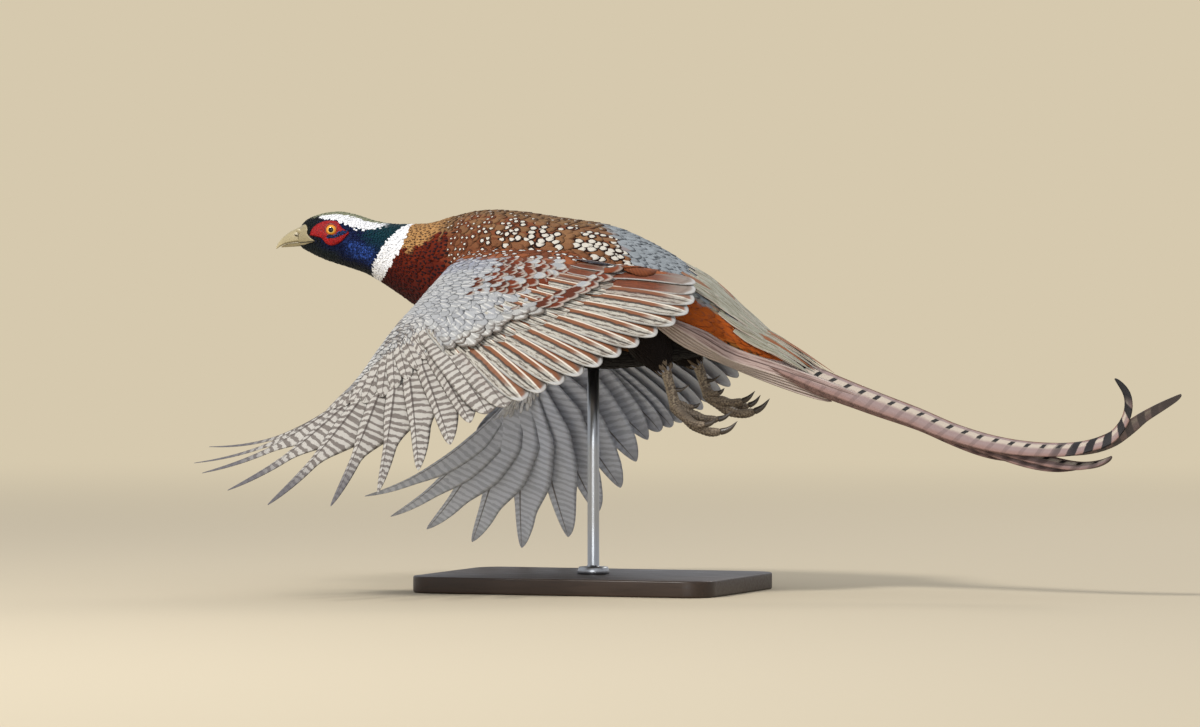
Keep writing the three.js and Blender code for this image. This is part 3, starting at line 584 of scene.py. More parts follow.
def bodyLooks(x, down, z, chance):
    # markings by station, share of the way down the side (0 back, 1 belly) and height
    tone, fuzz = bodyTones, chance - 0.5
    looks = newLooks(len(x), tone["blue"], 0.9, tone["blueEdge"], tone["spot"], 0.35)
    amount, bare = looks["amount"], (0.0, 0.0, 0.0)
    # blue head and neck, greener behind and above, near black on face and throat
    mark(looks, smooth(-215, -200, x + 14 * fuzz) * smooth(0.6, 0.3, down), tone["teal"], 0.9)
    # painted highlight: a patch of bright glossy blue on the cheek, brighter on some feathers
    cheek = smooth(0.44, 0.53, down) * smooth(0.74, 0.62, down) * smooth(-228, -216, x) * smooth(-194, -206, x)
    mark(looks, cheek * (0.15 + 0.85 * chance ** 2), tone["cheek"], 1.0)
    mark(looks, smooth(0.7, 0.84, down + 0.06 * fuzz), tone["throat"], 0.5)
    mark(looks, smooth(-240, -252, x + 8 * fuzz), tone["face"], 0.4)
    mark(looks, smooth(-225, -236, x) * smooth(0.6, 0.75, down), tone["chin"], 0.45)
    crown = smooth(-258, -252, x) * smooth(-192, -200, x)
    brow = crown * (z > columnAt(bodyPlan["brow"], x) + 1.6 * fuzz)
    mark(looks, brow, tone["brow"], 0, amount=bare)
    cap = smooth(0.15, 0.12, down + 0.03 * fuzz + 0.05 * smooth(-216, -196, x)) * smooth(-192, -200, x)
    mark(looks, crown * cap, tone["cap"], 0.2)
    # white collar, ragged at both edges
    frontEdge, backEdge = (columnAt(bodyPlan[key], z) + 1.6 * fuzz for key in ("collarFront", "collarBack"))
    collar, behind = (x > frontEdge) & (x < backEdge), x >= backEdge
    mark(looks, collar, tone["collar"], 0, tone["collarEdge"], bare)
    # maroon neck and breast with dark scale edges
    mark(looks, behind, tone["maroon"], 0.12, tone["scale"], (0.95, 0.0, 0.0))
    mark(looks, behind * smooth(0.55, 0.95, down), tone["maroonLow"], 0.12)
    # painted highlight: copper over the upper neck and breast, brighter on some feathers
    mark(looks, behind * smooth(0.75, 0.4, down) * (0.1 + 0.65 * chance), tone["copper"], 0.15)
    # golden mantle
    mantleLine = columnAt(bodyPlan["mantle"], x)
    mantle = behind * smooth(0.02, -0.02, down - mantleLine + 0.07 * fuzz)
    amounts = np.stack([np.where(x < -138, 0.95, 0.75), 0.4 * (chance > 0.7) * (x > -138), np.full(len(x), 0.1)], 1)
    mark(looks, mantle, tone["gold"], 0.05, tone["goldEdge"], amounts[mantle > 0.5])
    mark(looks, mantle * smooth(-150, -132, x), tone["goldDark"], 0.05)
    # chestnut scapulars with ringed cream spots
    scapular = behind * smooth(-132, -120, x) * smooth(0.1, 0.14, down) * smooth(0.62, 0.56, down)
    scapular = scapular * smooth(0.05, -0.02, down - mantleLine - 0.16)
    size = (smooth(-140, -20, x) * 0.8 + 0.4 + 0.15 * fuzz) * (chance <= 0.6) * mix(0.65, 1, smooth(0.12, 0.28, down))
    mark(looks, scapular, tone["chestnut"], 0.05, tone["ring"], (0.35, 0.0, 0.0))
    amount[scapular > 0.5, 1] = size[scapular > 0.5]
    mark(looks, scapular * (chance > 0.5) * smooth(0.4, 0.2, down), tone["tan"], 0.05)
    # slate-blue back and rump with dark crescents
    rump = smooth(-6, 4, x - 170 * down + 10 * fuzz) * smooth(0.56, 0.5, down)
    mark(looks, rump, tone["slate"], 0.1, tone["crescent"])
    amount[rump > 0.5, 0] = np.where(chance > 0.5, 0.7, 0.12)[rump > 0.5]
    amount[rump > 0.5, 1] = 0
    mark(looks, rump * smooth(84, 120, x) * (chance > 0.35), tone["olive"], 0.1)
    mark(looks, rump * smooth(104, 130, x) * (chance > 0.7), tone["mauve"], 0.1)
    # golden flanks with dark tips, chestnut sides of the rump, black belly
    flank = smooth(-96, -84, x) * smooth(0.44, 0.5, down) * smooth(0.8, 0.72, down) * (1 - rump)
    mark(looks, flank, tone["flank"], 0.1, tone["flankTip"], (0.85, 0.0, 0.0))
    amount[(flank > 0.5) & (chance > 0.6), 0] = 0.15
    side = smooth(64, 80, x - 20 * fuzz) * smooth(0.3, 0.38, down + 0.05 * fuzz) * smooth(0.66, 0.58, down)
    mark(looks, side, tone["rumpSide"], 0.1, amount=(0.2, 0.0, 0.0))
    far = smooth(20, 70, x)
    belly = smooth(-104, -70, x + 20 * fuzz) * smooth(mix(0.72, 0.6, far), mix(0.8, 0.68, far), down + 0.08 * fuzz)
    mark(looks, belly, tone["belly"], 0.1, amount=(0.2, 0.0, 0.0))
    mark(looks, smooth(88, 100, x) * smooth(0.66, 0.74, down), tone["vent"], 0.1)
    return looks


firstStation, stationStep = -268.0, 1.5
stations = np.arange(firstStation, 172.1, stationStep)
bodyAngles = turnSteps(120)
stationGrid, angleGrid = np.meshgrid(stations, bodyAngles, indexing="ij")
skinIn = np.interp(stations, *bodyPlan["skinIn"])
body = makeSheet(bodyPoint(stationGrid, angleGrid, -skinIn[:, None]), wrap=True)
if body["normals"][len(stations) // 2, 30][2] < 0:
    body["normals"] *= -1


def downOf(angle):
    # share of the way from back to belly
    return np.abs(np.mod(angle - np.pi / 2 + np.pi, 2 * np.pi) - np.pi) / np.pi


def bodyUv(x, angle):
    return 0.02 + 0.96 * np.stack([np.mod(angle / (2 * np.pi) + 0.25, 1.0), (x - firstStation) / 441], 1)


def bodySkin():
    # the sheet of ellipses itself, closed at both ends
    x, angle = stationGrid.ravel(), angleGrid.ravel()
    verts, faces = closeRings(body["points"])
    base = bodyLooks(x, downOf(angle), body["points"][..., 2].ravel(), np.full(len(x), 0.5))["base"]
    makePiece(
        "bodySkin", verts, turnFaces(faces), skin, {"base": np.vstack([base, base[[0, -1]]])},
        np.vstack([bodyUv(x, angle), [[0.5, 0.01], [0.5, 0.99]]]), ("head", "collar", "neck", "torso"),
    )


bodySkin()
print("body skin")

headPlan = {
    "eye": (-237.0, 306.2, 14.4, 6.9),  # station, height, distance from the middle, radius
    "lidRadius": 5.2, "billStart": -266.35,
    # outlines round the bare red skin and round the bill's horn at its base, ahead of the eye and above it
    "wattle": np.array([
        [19.4, -4.8], [17.3, 1.0], [9.6, 6.6], [1.8, 7.9], [-5.0, 6.8], [-9.4, 1.4], [-15.4, -2.4],
        [-12.2, -6.6], [-9.6, -9.4], [-4.8, -12.3], [0.4, -13.5], [4.8, -11.6], [8.6, -7.2], [12.5, -6.0],
    ]),
    "horn": np.array([
        [29.9, 2.6], [24.0, 4.4], [21.6, 0.8], [21.8, -3.1], [18.8, -6.8], [15.0, -9.8], [19.7, -11.3],
        [26.3, -13.2], [29.9, -12.6], [30.4, -5.0],
    ]),
}
eyeStation, eyeHeight, eyeSide, eyeRadius = headPlan["eye"]


def insideOutline(forward, up, outline):
    # distance to a closed outline, above 0 inside it
    inside = np.zeros(len(forward), bool)
    nearest = np.full(len(forward), 1e9)
    for (ax, ay), (bx, by) in zip(outline, np.roll(outline, -1, axis=0)):
        inside ^= ((ay > up) != (by > up)) & (forward < (bx - ax) * (up - ay) / (by - ay + 1e-12) + ax)
        t = np.clip(((forward - ax) * (bx - ax) + (up - ay) * (by - ay)) / ((bx - ax) ** 2 + (by - ay) ** 2), 0, 1)
        nearest = np.minimum(nearest, np.hypot(forward - ax - t * (bx - ax), up - ay - t * (by - ay)))
    return np.where(inside, nearest, -nearest)


# rows of feathers down the body: station, row step, length, width, rise of the tip
bodyCoatPlan = [
    [-267, 1.5, 3.6, 1.9, 0.35], [-255, 1.6, 4.2, 2.1, 0.45], [-235, 1.8, 5.0, 2.6, 0.55],
    [-205, 1.9, 5.4, 2.8, 0.4], [-192, 2.0, 5.8, 3.1, 0.4], [-176, 2.5, 7.4, 4.4, 0.55],
    [-150, 3.8, 12.0, 6.8, 0.8], [-110, 4.9, 15.5, 8.8, 0.9], [-40, 6.4, 21.0, 10.4, 0.9],
    [30, 5.2, 20.0, 8.0, 0.8], [100, 4.8, 22.0, 6.6, 0.8], [150, 4.6, 24.0, 5.4, 0.8],
]


def bodyCoat():
    # staggered rings of feathers, each ring a row's step behind the last, with a little chance in place and size
    rowX = [-267.0]
    while rowX[-1] < 150:
        rowX.append(rowX[-1] + float(tableAt(bodyCoatPlan, rowX[-1])[0]))
    rows = []
    for i, station in enumerate(rowX):
        _, long, wide, high = tableAt(bodyCoatPlan, station)
        ring = bodyPoint(np.full(120, station), bodyAngles)
        count = max(8, int(runOf(np.vstack([ring, ring[:1]]))[-1] / (0.62 * wide)))
        angle = (np.arange(count) + 0.5 * (i % 2) + rng.normal(0, 0.12, count)) * 2 * np.pi / count
        rows.append([
            station + rng.normal(0, 0.12, count) * wide, angle, long * rng.uniform(0.88, 1.12, count),
            wide * rng.uniform(0.9, 1.1, count), high * rng.uniform(0.7, 1.3, count),
        ])
    x, angle, length, width, rise = np.concatenate(rows, axis=1)
    x, angle = np.maximum(x, -267.5), np.mod(angle, 2 * np.pi)
    # no feathers on the bare skin and the eye
    keep = np.hypot(eyeStation - x, bodyPoint(x, angle)[:, 2] - eyeHeight) > 7.0
    for at in (x + 0.2 * length, x + 0.75 * length, x + length):
        up = bodyPoint(at, angle)[:, 2] - eyeHeight
        for outline in (headPlan["wattle"], headPlan["horn"]):
            keep &= ~((insideOutline(eyeStation - at, up, outline) > 0.3) & (np.abs(np.cos(angle)) > 0.3))
    x, angle, length, width, rise = (values[keep] for values in (x, angle, length, width, rise))
    tipX = x + 0.75 * length
    looks = bodyLooks(tipX, downOf(angle), bodyPoint(tipX, angle)[:, 2], rng.random(len(x)))
    u, v = (x - firstStation) / stationStep, angle / (2 * np.pi) * len(bodyAngles)
    feathers = layFeathers(body, u, v, length, width, rng.normal(0, 0.09, len(x)), rise, arch=0.09)
    featherPieces("bodyCoat", feathers, looks, bodyUv(x, angle))


bodyCoat()

# Wings: arm sections from shoulder to fingertip, leading point, trailing point, thickness, drop of the right wing
wingPlan = {
    "sections": np.array([
        [-112, -26, 286, 46, -24, 276, 28, 0], [-114, -58, 274, 34, -58, 270, 28, 0],
        [-119, -92, 256, -14, -100, 250, 25, 3], [-125, -120, 239, -60, -124, 233, 19, 6],
        [-131, -142, 225, -101, -140, 223, 14, 10], [-141, -158, 206, -120, -155, 205, 11, 14],
        [-151, -173, 186, -137, -169, 185, 7.5, 18], [-160, -186, 171, -154, -184, 171, 4, 22],
    ], float),
    # tips of the flight feathers by their count from the outermost, and how far the right wing's hang lower
    "tips": [
        [0, -281, -188, 125], [1, -275, -235, 113], [2, -254, -268, 106], [3, -221, -292, 93], [4, -180, -305, 82],
        [5, -131, -288, 81], [6, -97, -268, 92], [7, -69, -248, 110], [8, -48, -229, 131], [9, -34, -219, 149],
        [12, 4, -198, 167], [15, 42, -165, 187], [18, 79, -126, 211], [21, 110, -88, 238], [24, 104, -52, 262],
        [26, 96, -38, 262], [28, 84, -28, 266],
    ],
    "droop": [[0, 56], [2, 69], [4, 62], [6, 38], [9, 28], [12, 30], [18, 31], [22, 26], [24, 24], [28, 14]],
    "rightReach": 1.03, "wrist": 4, "primaries": 10, "secondaries": 15, "last": 28,
    "widths": [[0, 19], [2, 27], [5, 31], [9, 31], [14, 31], [20, 33], [24, 36]],
}
handCount, lastCount = wingPlan["primaries"], wingPlan["last"]


class Wing:
    # s counts along the arm's sections, n along the flight feathers from the outermost, both whole or between
    def __init__(self, side):
        sections = wingPlan["sections"]
        drop = sections[:, 7:] * (side > 0) * [0, 0, 1]
        self.side, self.mirror = side, np.array([1.0, -side, 1.0])
        self.fronts, self.backs = (sections[:, k:k + 3] * self.mirror - drop for k in (0, 3))
        self.last = len(sections) - 1
        self.thickness = np.column_stack([np.arange(self.last + 1), sections[:, 6]])

    def frontAt(self, s):
        return centripetal(self.fronts, s / self.last)

    def upAt(self, s):
        ahead = self.frontAt(np.minimum(s + 0.2, self.last)) - self.frontAt(np.maximum(s - 0.2, 0))
        up = unit(np.cross(self.frontAt(s) - centripetal(self.backs, s / self.last), ahead))
        return up * np.where(up[..., 2:] < 0, -1, 1)

    def chord(self, s, share, lift):
        # a point between the trailing and the leading edge, raised off the line between them
        share, lift = np.broadcast_to(share, s.shape)[..., None], np.broadcast_to(lift, s.shape)[..., None]
        back = centripetal(self.backs, s / self.last)
        return back + (self.frontAt(s) - back) * share + self.upAt(s) * lift

    def thickAt(self, s):
        return columnAt(self.thickness, s)

    def rootAt(self, n):
        wrist, lastHand = wingPlan["wrist"], handCount - 1
        hand = mix(6.6, wrist + 0.12, n / lastHand)
        arm = mix(wrist - 0.1, 1.1, (n - handCount) / (wingPlan["secondaries"] - 1))
        between = mix(wrist + 0.12, wrist - 0.1, np.clip(n - lastHand, 0, 1))
        return np.where(n <= lastHand, hand, np.where(n >= handCount, arm, between))

    def root(self, n):
        s = self.rootAt(n)
        return self.chord(s, 0.22, -0.1 * self.thickAt(s))

    def tip(self, n):
        place = tableAt(wingPlan["tips"], n)
        if self.side > 0:
            place = place * [wingPlan["rightReach"], 1, 1] - tableAt(wingPlan["droop"], n) * [0, 0, 1]
        return place * self.mirror

    def towardsTip(self, n, last):
        return self.tip(np.maximum(n - 0.5, 0)) - self.tip(np.minimum(n + 0.5, last))

    def face(self, n):
        normal = unit(np.cross(-self.towardsTip(n, lastCount), self.tip(n) - self.root(n)))
        return normal * np.where(normal[..., 2:] < 0, -1, 1)

    def shaft(self, n, t):
        # quadratic curve root, hump, tip; n and t are arrays that broadcast
        n, t = np.broadcast_arrays(np.asarray(n, float), np.asarray(t, float))
        sag = np.where(n < handCount, mix(14.0, 3.0, n / (handCount - 1)), -5.0)
        a, c = self.root(n), self.tip(n)
        return quadratic(a, (a + c) / 2 - self.face(n) * (2 * sag)[..., None], c, t[..., None])


def quadratic(a, b, c, t):
    # a quadratic Bezier curve from a to c, drawn towards b
    return a * (1 - t) ** 2 + b * 2 * t * (1 - t) + c * t * t


def wingSheet(wing, upper):
    # the surface that coverts lie on: over the arm from its leading edge, then along the flight feathers
    n = np.linspace(0, lastCount, 113)
    s, face, sign = wing.rootAt(n), wing.face(n), 1 if upper else -1
    arm = ((1.0, 0.0), (0.97, 0.24), (0.85, 0.42), (0.66, 0.5), (0.45, 0.5), (0.3, 0.46))
    lines = [wing.chord(s, share, sign * level * wing.thickAt(s)) for share, level in arm]
    raised = (smooth(7.5, 13, n) * smooth(27, 24, n))[:, None] * upper
    blades = ((0.2, 3.2, 3.4), (0.35, 2.6, 4.0), (0.5, 2.2, 3.4), (0.7, 1.6, 1.0), (0.85, 1.1, 0), (1.0, 0.7, 0))
    lines += [wing.shaft(n, t) + face * (lift + more * raised) * sign for t, lift, more in blades]
    sheet = makeSheet(np.stack([smoothLine(line, 200, 90) for line in np.stack(lines, 1)], 1))
    if np.dot(sheet["normals"][40, 60], face[60]) * sign < 0:
        sheet["normals"] *= -1
    sheet["length"] = np.linalg.norm(np.diff(sheet["points"], axis=0), axis=-1).sum(0)
    return sheet


wingTones = tones(
    grey=(161, 162, 163), greyDark=(146, 147, 151), edge=(138, 138, 142), mark=(206, 204, 198),
    under=(196, 198, 204), underPale=(204, 204, 206), leading=(184, 182, 178), hand=(176, 174, 170),
    handDark=(122, 116, 112), late=(168, 165, 158), lateEdge=(96, 84, 74), scallop=(138, 142, 158),
    rust=(104, 48, 28), rustDark=(84, 42, 28), rustEdge=(190, 184, 174), scapular=(140, 80, 48),
    scapularDark=(112, 62, 38), ring=(34, 18, 14), armSkin=(150, 148, 148),
)


def wingLooks(n, share, chance, upper):
    # markings of the small coverts by flight-feather count and share of the way from leading to trailing edge
    tone, fuzz = wingTones, chance - 0.5
    looks = newLooks(len(n), tone["grey"], 0.05, tone["edge"], tone["mark"], 0.1 if upper else 0.15)
    amount = looks["amount"]
    mark(looks, 0.5 * (chance > 0.6), tone["greyDark"])
    if not upper:
        mark(looks, np.ones(len(n)), tone["under"])
        mark(looks, chance > 0.7, tone["underPale"])
        return looks
    mark(looks, smooth(0.1, 0.0, share) * 0.6, tone["leading"])
    # grey streaked leading edge of the hand
    hand = smooth(11.5, 9.5, n)
    mark(looks, hand * 0.8, tone["hand"])
    mark(looks, hand * (chance > 0.72), tone["handDark"])
    amount[hand > 0.5, 0] = 0.55
    amount[chance > 0.35, 2] = -0.8
    # pale, dark-edged tips in the last rows
    late = smooth(0.37, 0.45, share - 0.012 * (n - 12) + 0.05 * fuzz) * smooth(9, 11, n) * smooth(19.5, 17.5, n)
    paint(looks["base"], late * 0.8, tone["late"])
    paint(looks["edge"], late, tone["lateEdge"])
    amount[late > 0.5, 0] = 0.8
    # slate scallops along the border with the scapulars
    border = smooth(20.5, 22, n + 1.2 * fuzz) * smooth(25.0, 24.0, n)
    mark(looks, border * 0.8 * smooth(0.3, 0.1, share), tone["scallop"])
    amount[(border > 0.5) & (share < 0.25), 0] = 0.8
    # chestnut blotches nearer the body and the trailing edge
    blotch = smooth(16.5, 20.5, n + 4 * fuzz) * smooth(0.16, 0.34, share + 0.16 * fuzz) > 0.5
    mark(looks, blotch * (chance > 0.3), tone["rust"])
    mark(looks, blotch * (chance > 0.7), tone["rustDark"])
    paint(looks["edge"], blotch, tone["rustEdge"])
    amount[blotch] = 0.65, 0.0, 0.0
    # spotted chestnut scapulars next to the body
    scapular = smooth(23.4, 24.2, n + 1.0 * fuzz)
    mark(looks, scapular, tone["scapular"], None, tone["ring"], (0.3, 0.0, 0.0))
    amount[scapular > 0.5, 1] = np.where(chance > 0.55, 0, 0.62 + 0.3 * fuzz)[scapular > 0.5]
    mark(looks, scapular * (chance > 0.7), tone["scapularDark"])
    return looks


coatPlan = {
    # how far down the wing the small coverts reach, by flight-feather count
    "upper": [[0, 0.13], [5, 0.18], [9, 0.26], [10, 0.33], [12, 0.39], [16, 0.44], [20, 0.52], [24, 0.6],
              [25.2, 0.76], [28, 0.9]],
    "under": [[0, 0.13], [9, 0.28], [28, 0.6]],
    "first": 0.004, "last": 0.9, "width": 6.4, "widening": 12.5, "rise": 0.6, "arch": 0.035,
    "scale": ([0, 8, 11, 28], [0.5, 0.6, 1.0, 1.15]),
}


def wingCoat(wing, name, upper):
    # staggered rows from the leading edge backwards, each wider than the last
    plan, sheet = coatPlan, wingSheet(wing, upper)
    reach = plan["upper" if upper else "under"]
    steps, columns = sheet["points"].shape[:2]
    counts = np.linspace(0, lastCount, columns)
    rows, row = [], plan["first"]
    while row < plan["last"]:
        wide = plan["width"] + plan["widening"] * row
        run = runOf(sheet["points"][int(row * (steps - 1))])
        count = int(run[-1] / (0.62 * wide))
        at = (np.arange(count) + 0.5 * (len(rows) % 2) + rng.normal(0, 0.12, count)) * run[-1] / count
        n = np.interp(at, run, counts)
        n = n[row < columnAt(reach, n) + rng.normal(0, 0.01, count)]
        scale, count = np.interp(n, *plan["scale"]), len(n)
        rows.append([
            n, row + rng.normal(0, 0.003, count), wide * 2.1 * scale * rng.uniform(0.88, 1.12, count),
            wide * scale ** 0.6 * rng.uniform(0.9, 1.1, count), plan["rise"] * rng.uniform(0.7, 1.3, count),
        ])
        row += 0.46 * wide / float(np.median(sheet["length"]))
    n, share, length, width, rise = np.concatenate(rows, axis=1)
    share = np.clip(share, 0, 0.95)
    chance = rng.random(len(n))
    tipShare = share + 0.7 * length / np.interp(n, counts, sheet["length"])
    turn = rng.normal(0, 0.08, len(n))
    v = n * (columns - 1) / lastCount
    feathers = layFeathers(sheet, share * (steps - 1), v, length, width, turn, rise, arch=plan["arch"])
    rootUv = np.stack([0.02 + 0.96 * n / lastCount, 0.02 + 0.96 * share], 1)
    featherPieces(name, feathers, wingLooks(n, tipShare, chance, upper), rootUv)


def armSkin(wing, name, nodes):
    # ellipses round the chord, thinner towards the trailing edge, to stay under the coverts there
    s, angle = np.meshgrid(np.linspace(0.0, 7.0, 57), turnSteps(32), indexing="ij")
    middle = wing.chord(s, 0.5, 0.0)
    half = wing.chord(s, 1.0, 0.0) - middle
    grow = np.maximum(0.4, wing.thickAt(s) / 2 - 0.6) * mix(0.3, 1, smooth(-1, 0.3, np.cos(angle)))
    around = half * 0.985 * np.cos(angle)[..., None] + wing.upAt(s) * (grow * np.sin(angle))[..., None]
    verts, faces = closeRings(middle + around)
    uv = np.vstack([np.stack([angle.ravel() / 6.3, s.ravel() / 7.2], 1), [[0.5, 0.995], [0.5, 0.99]]])
    faces = turnFaces(faces) if wing.side < 0 else faces
    colours = colourRows(len(verts), wingTones["armSkin"])
    makePiece(name, verts, faces, skin, {"base": colours}, uv, nodes)


# Blades: long feathers, each with its own curve, both faces and a raised shaft
bladePlan = {
    "across": np.array([-1, -0.8, -0.5, -0.2, -0.035, 0, 0.035, 0.2, 0.5, 0.8, 1]),
    "closer": 1.7, "shaftHeight": 0.55, "shaftBelow": 1.4, "barbPitch": 0.9, "sheen": 0.02,
}


def bladeSpacing(steps):
    # closer together towards the tip
    return 1 - (1 - np.linspace(0, 1, steps)) ** bladePlan["closer"]


def layBlades(name, material, paths, faces, webs, outward, kinds, widths,
              lengths=None, tilt=0.0, arch=0.07, thick=0.45, shaftWidth=1.1, replaces=()):
    # path point + across times the web's width + normal times (camber, half the thickness and the shaft's bump);
    # paths and faces (n, T, 3), inner and outer web (n, T); outward is the way the outer web lies
    count, steps = paths.shape[:2]
    if lengths is None:
        lengths = np.linalg.norm(np.diff(paths, axis=1), axis=-1).sum(1)
    along = unit(np.gradient(paths, axis=1) + 1e-7)
    up = unit(faces - along * np.sum(faces * along, -1, keepdims=True))
    across = np.cross(along, up)
    across *= np.sign(np.sum(across * outward, -1, keepdims=True).mean(1, keepdims=True))
    across = unit(across + up * tilt)
    normal = np.cross(across, along)
    normal *= np.sign(np.sum(normal * up, -1, keepdims=True).mean(1, keepdims=True))
    inner, outer = (np.broadcast_to(web, (count, steps))[..., None] for web in webs)
    s, t = bladePlan["across"], bladeSpacing(steps)[:, None]
    offset = s * np.where(s > 0, outer, inner)
    camber = arch * (inner + outer) * (1 - s * s)
    shaftBump = np.exp(-(offset / (0.5 * shaftWidth)) ** 2) * bladePlan["shaftHeight"] * (1.05 - t)
    half = thick * mix(1.0, 0.6, t) / 2
    base = paths[:, :, None] + across[:, :, None] * offset[..., None]
    upper = base + normal[:, :, None] * (camber + half + shaftBump)[..., None]
    lower = base + normal[:, :, None] * (camber - half - shaftBump * bladePlan["shaftBelow"])[..., None]
    # both faces share the points at the edges
    columns, edge = len(s), np.abs(s) == 1
    upper[:, :, edge] = base[:, :, edge]
    verts = np.concatenate([upper.reshape(count, -1, 3), lower[:, :, ~edge].reshape(count, -1, 3)], 1)
    topIndex = np.arange(steps * columns).reshape(steps, columns)
    lowIndex = topIndex.copy()
    lowIndex[:, ~edge] = steps * columns + np.arange(steps * (columns - 2)).reshape(steps, columns - 2)
    top = gridFaces(steps, columns)
    quads, ends = [top, lowIndex.ravel()[top[:, [0, 3, 2, 1]]]], []
    for row, way in ((0, -1), (-1, 1)):
        a, b = topIndex[row], lowIndex[row]
        quads.append(np.stack([a[1:-2], a[2:-1], b[2:-1], b[1:-2]], 1)[:, ::way])
        ends.append(np.array([[a[0], a[1], b[1]], [a[-2], a[-1], b[-2]]])[:, ::way])
    # one mesh of all blades, each turned so that its faces look outwards
    size, shift = verts.shape[1], (np.arange(count) * verts.shape[1])[:, None, None]
    flipped = np.mean(np.sum(np.cross(across, along) * normal, -1), 1) > 0
    quads, ends = np.vstack(quads)[None] + shift, np.vstack(ends)[None] + shift
    for faceRows in (quads, ends):
        faceRows[flipped] = faceRows[flipped][:, :, ::-1]
    under = np.tile(np.arange(quads.shape[1]) >= len(top), count)
    vane = np.stack(np.broadcast_arrays(s, t, np.zeros((count, 1, 1))), -1)
    vane = np.concatenate([vane.reshape(count, -1, 3), vane[:, :, ~edge].reshape(count, -1, 3)], 1)
    vane[..., 2] = rng.random(count)[:, None]
    measure = np.stack([np.broadcast_to(np.reshape(v, (-1, 1)), (count, size)) for v in (lengths, widths, kinds)], -1)
    place = (np.arange(count)[:, None] + 0.5 + 0.46 * vane[..., 0]) / count
    makePiece(
        name, verts.reshape(-1, 3), [quads.reshape(-1, 4), ends.reshape(-1, 3)], material,
        {"vane": vane.reshape(-1, 3), "measure": measure.reshape(-1, 3),
         "under": np.concatenate([under, np.ones(ends.shape[0] * ends.shape[1])])},
        np.stack([place, 0.01 + 0.48 * vane[..., 1]], -1).reshape(-1, 2), replaces,
    )


def bladeInputs(tree):
    # place across, millimetres along and from the tip, chance, kind, and whether it is the lower face
    across, along, chance = read(tree, "vane").split()
    length, _, kind = read(tree, "measure").split()
    alongMm = along * length
    return across, alongMm, length - alongMm, chance, kind, read(tree, "under", "Fac")


def finishBlade(colour, across, alongMm):
    # barbs in relief, and as painted shade between them in the colour
    height = barbHeight(across * 12.0, alongMm, bladePlan["barbPitch"])
    return {"Base Color": shaded(colour, height * 0.22 + 0.86), "Normal": bump(height, 0.3, 0.0004),
            "Sheen Weight": bladePlan["sheen"]}


barredTones = tones(
    pale=(180, 175, 167), dark=(104, 95, 89), longTip=(96, 93, 97), below=(196, 203, 220),
    belowDark=(136, 144, 164), belowTip=(136, 140, 154), shaft=(70, 60, 56),
)


def barredColours(across, alongMm, fromTip, chance, kind, under):
    # wavy pale and dark bars across both webs, greyer below and towards the tip
    tone, side = barredTones, abs(across)
    wobble = noise((across * 1.6, alongMm * 0.16, chance * 40.0), 1.0, 3, 0.6)
    wave = (alongMm * 0.86 - side * 1.9 + wobble * 7.5).math("SINE")
    fine = noise((across * 6.0, alongMm * 0.9, chance), 1.0, 2)
    bars = wave.step(-0.25, 0.5) * (fine * 0.9 + 0.5)
    top = blend(bars.math("MINIMUM", 0.9), tone["pale"], tone["dark"])
    top = blend(kind.step(1.1, 1.9) * fromTip.step(72.0, 26.0, 0.0, 0.92), top, tone["longTip"])
    below = blend(bars * 0.5, tone["below"], tone["belowDark"])
    below = blend(fromTip.step(26.0, 4.0, 0.0, 0.6), below, tone["belowTip"])
    return layers(top, (under, below), (side.step(0.07, 0.035) * 0.75, tone["shaft"]))


def primaryLook(tree):
    inputs = bladeInputs(tree)
    return finishBlade(barredColours(*inputs), *inputs[:2])


secondaryTones = tones(
    cream=(180, 175, 163), marbling=(92, 80, 70), rufous=(130, 82, 54), brown=(112, 101, 92), line=(50, 40, 34),
    sideLine=(74, 60, 52), shaft=(232, 224, 208), chestnut=(120, 62, 36), chestnutDark=(76, 42, 28),
    middle=(120, 104, 90), innerTip=(142, 134, 124), fringe=(186, 185, 182), inFringe=(96, 78, 66),
    under=(186, 192, 206),
)


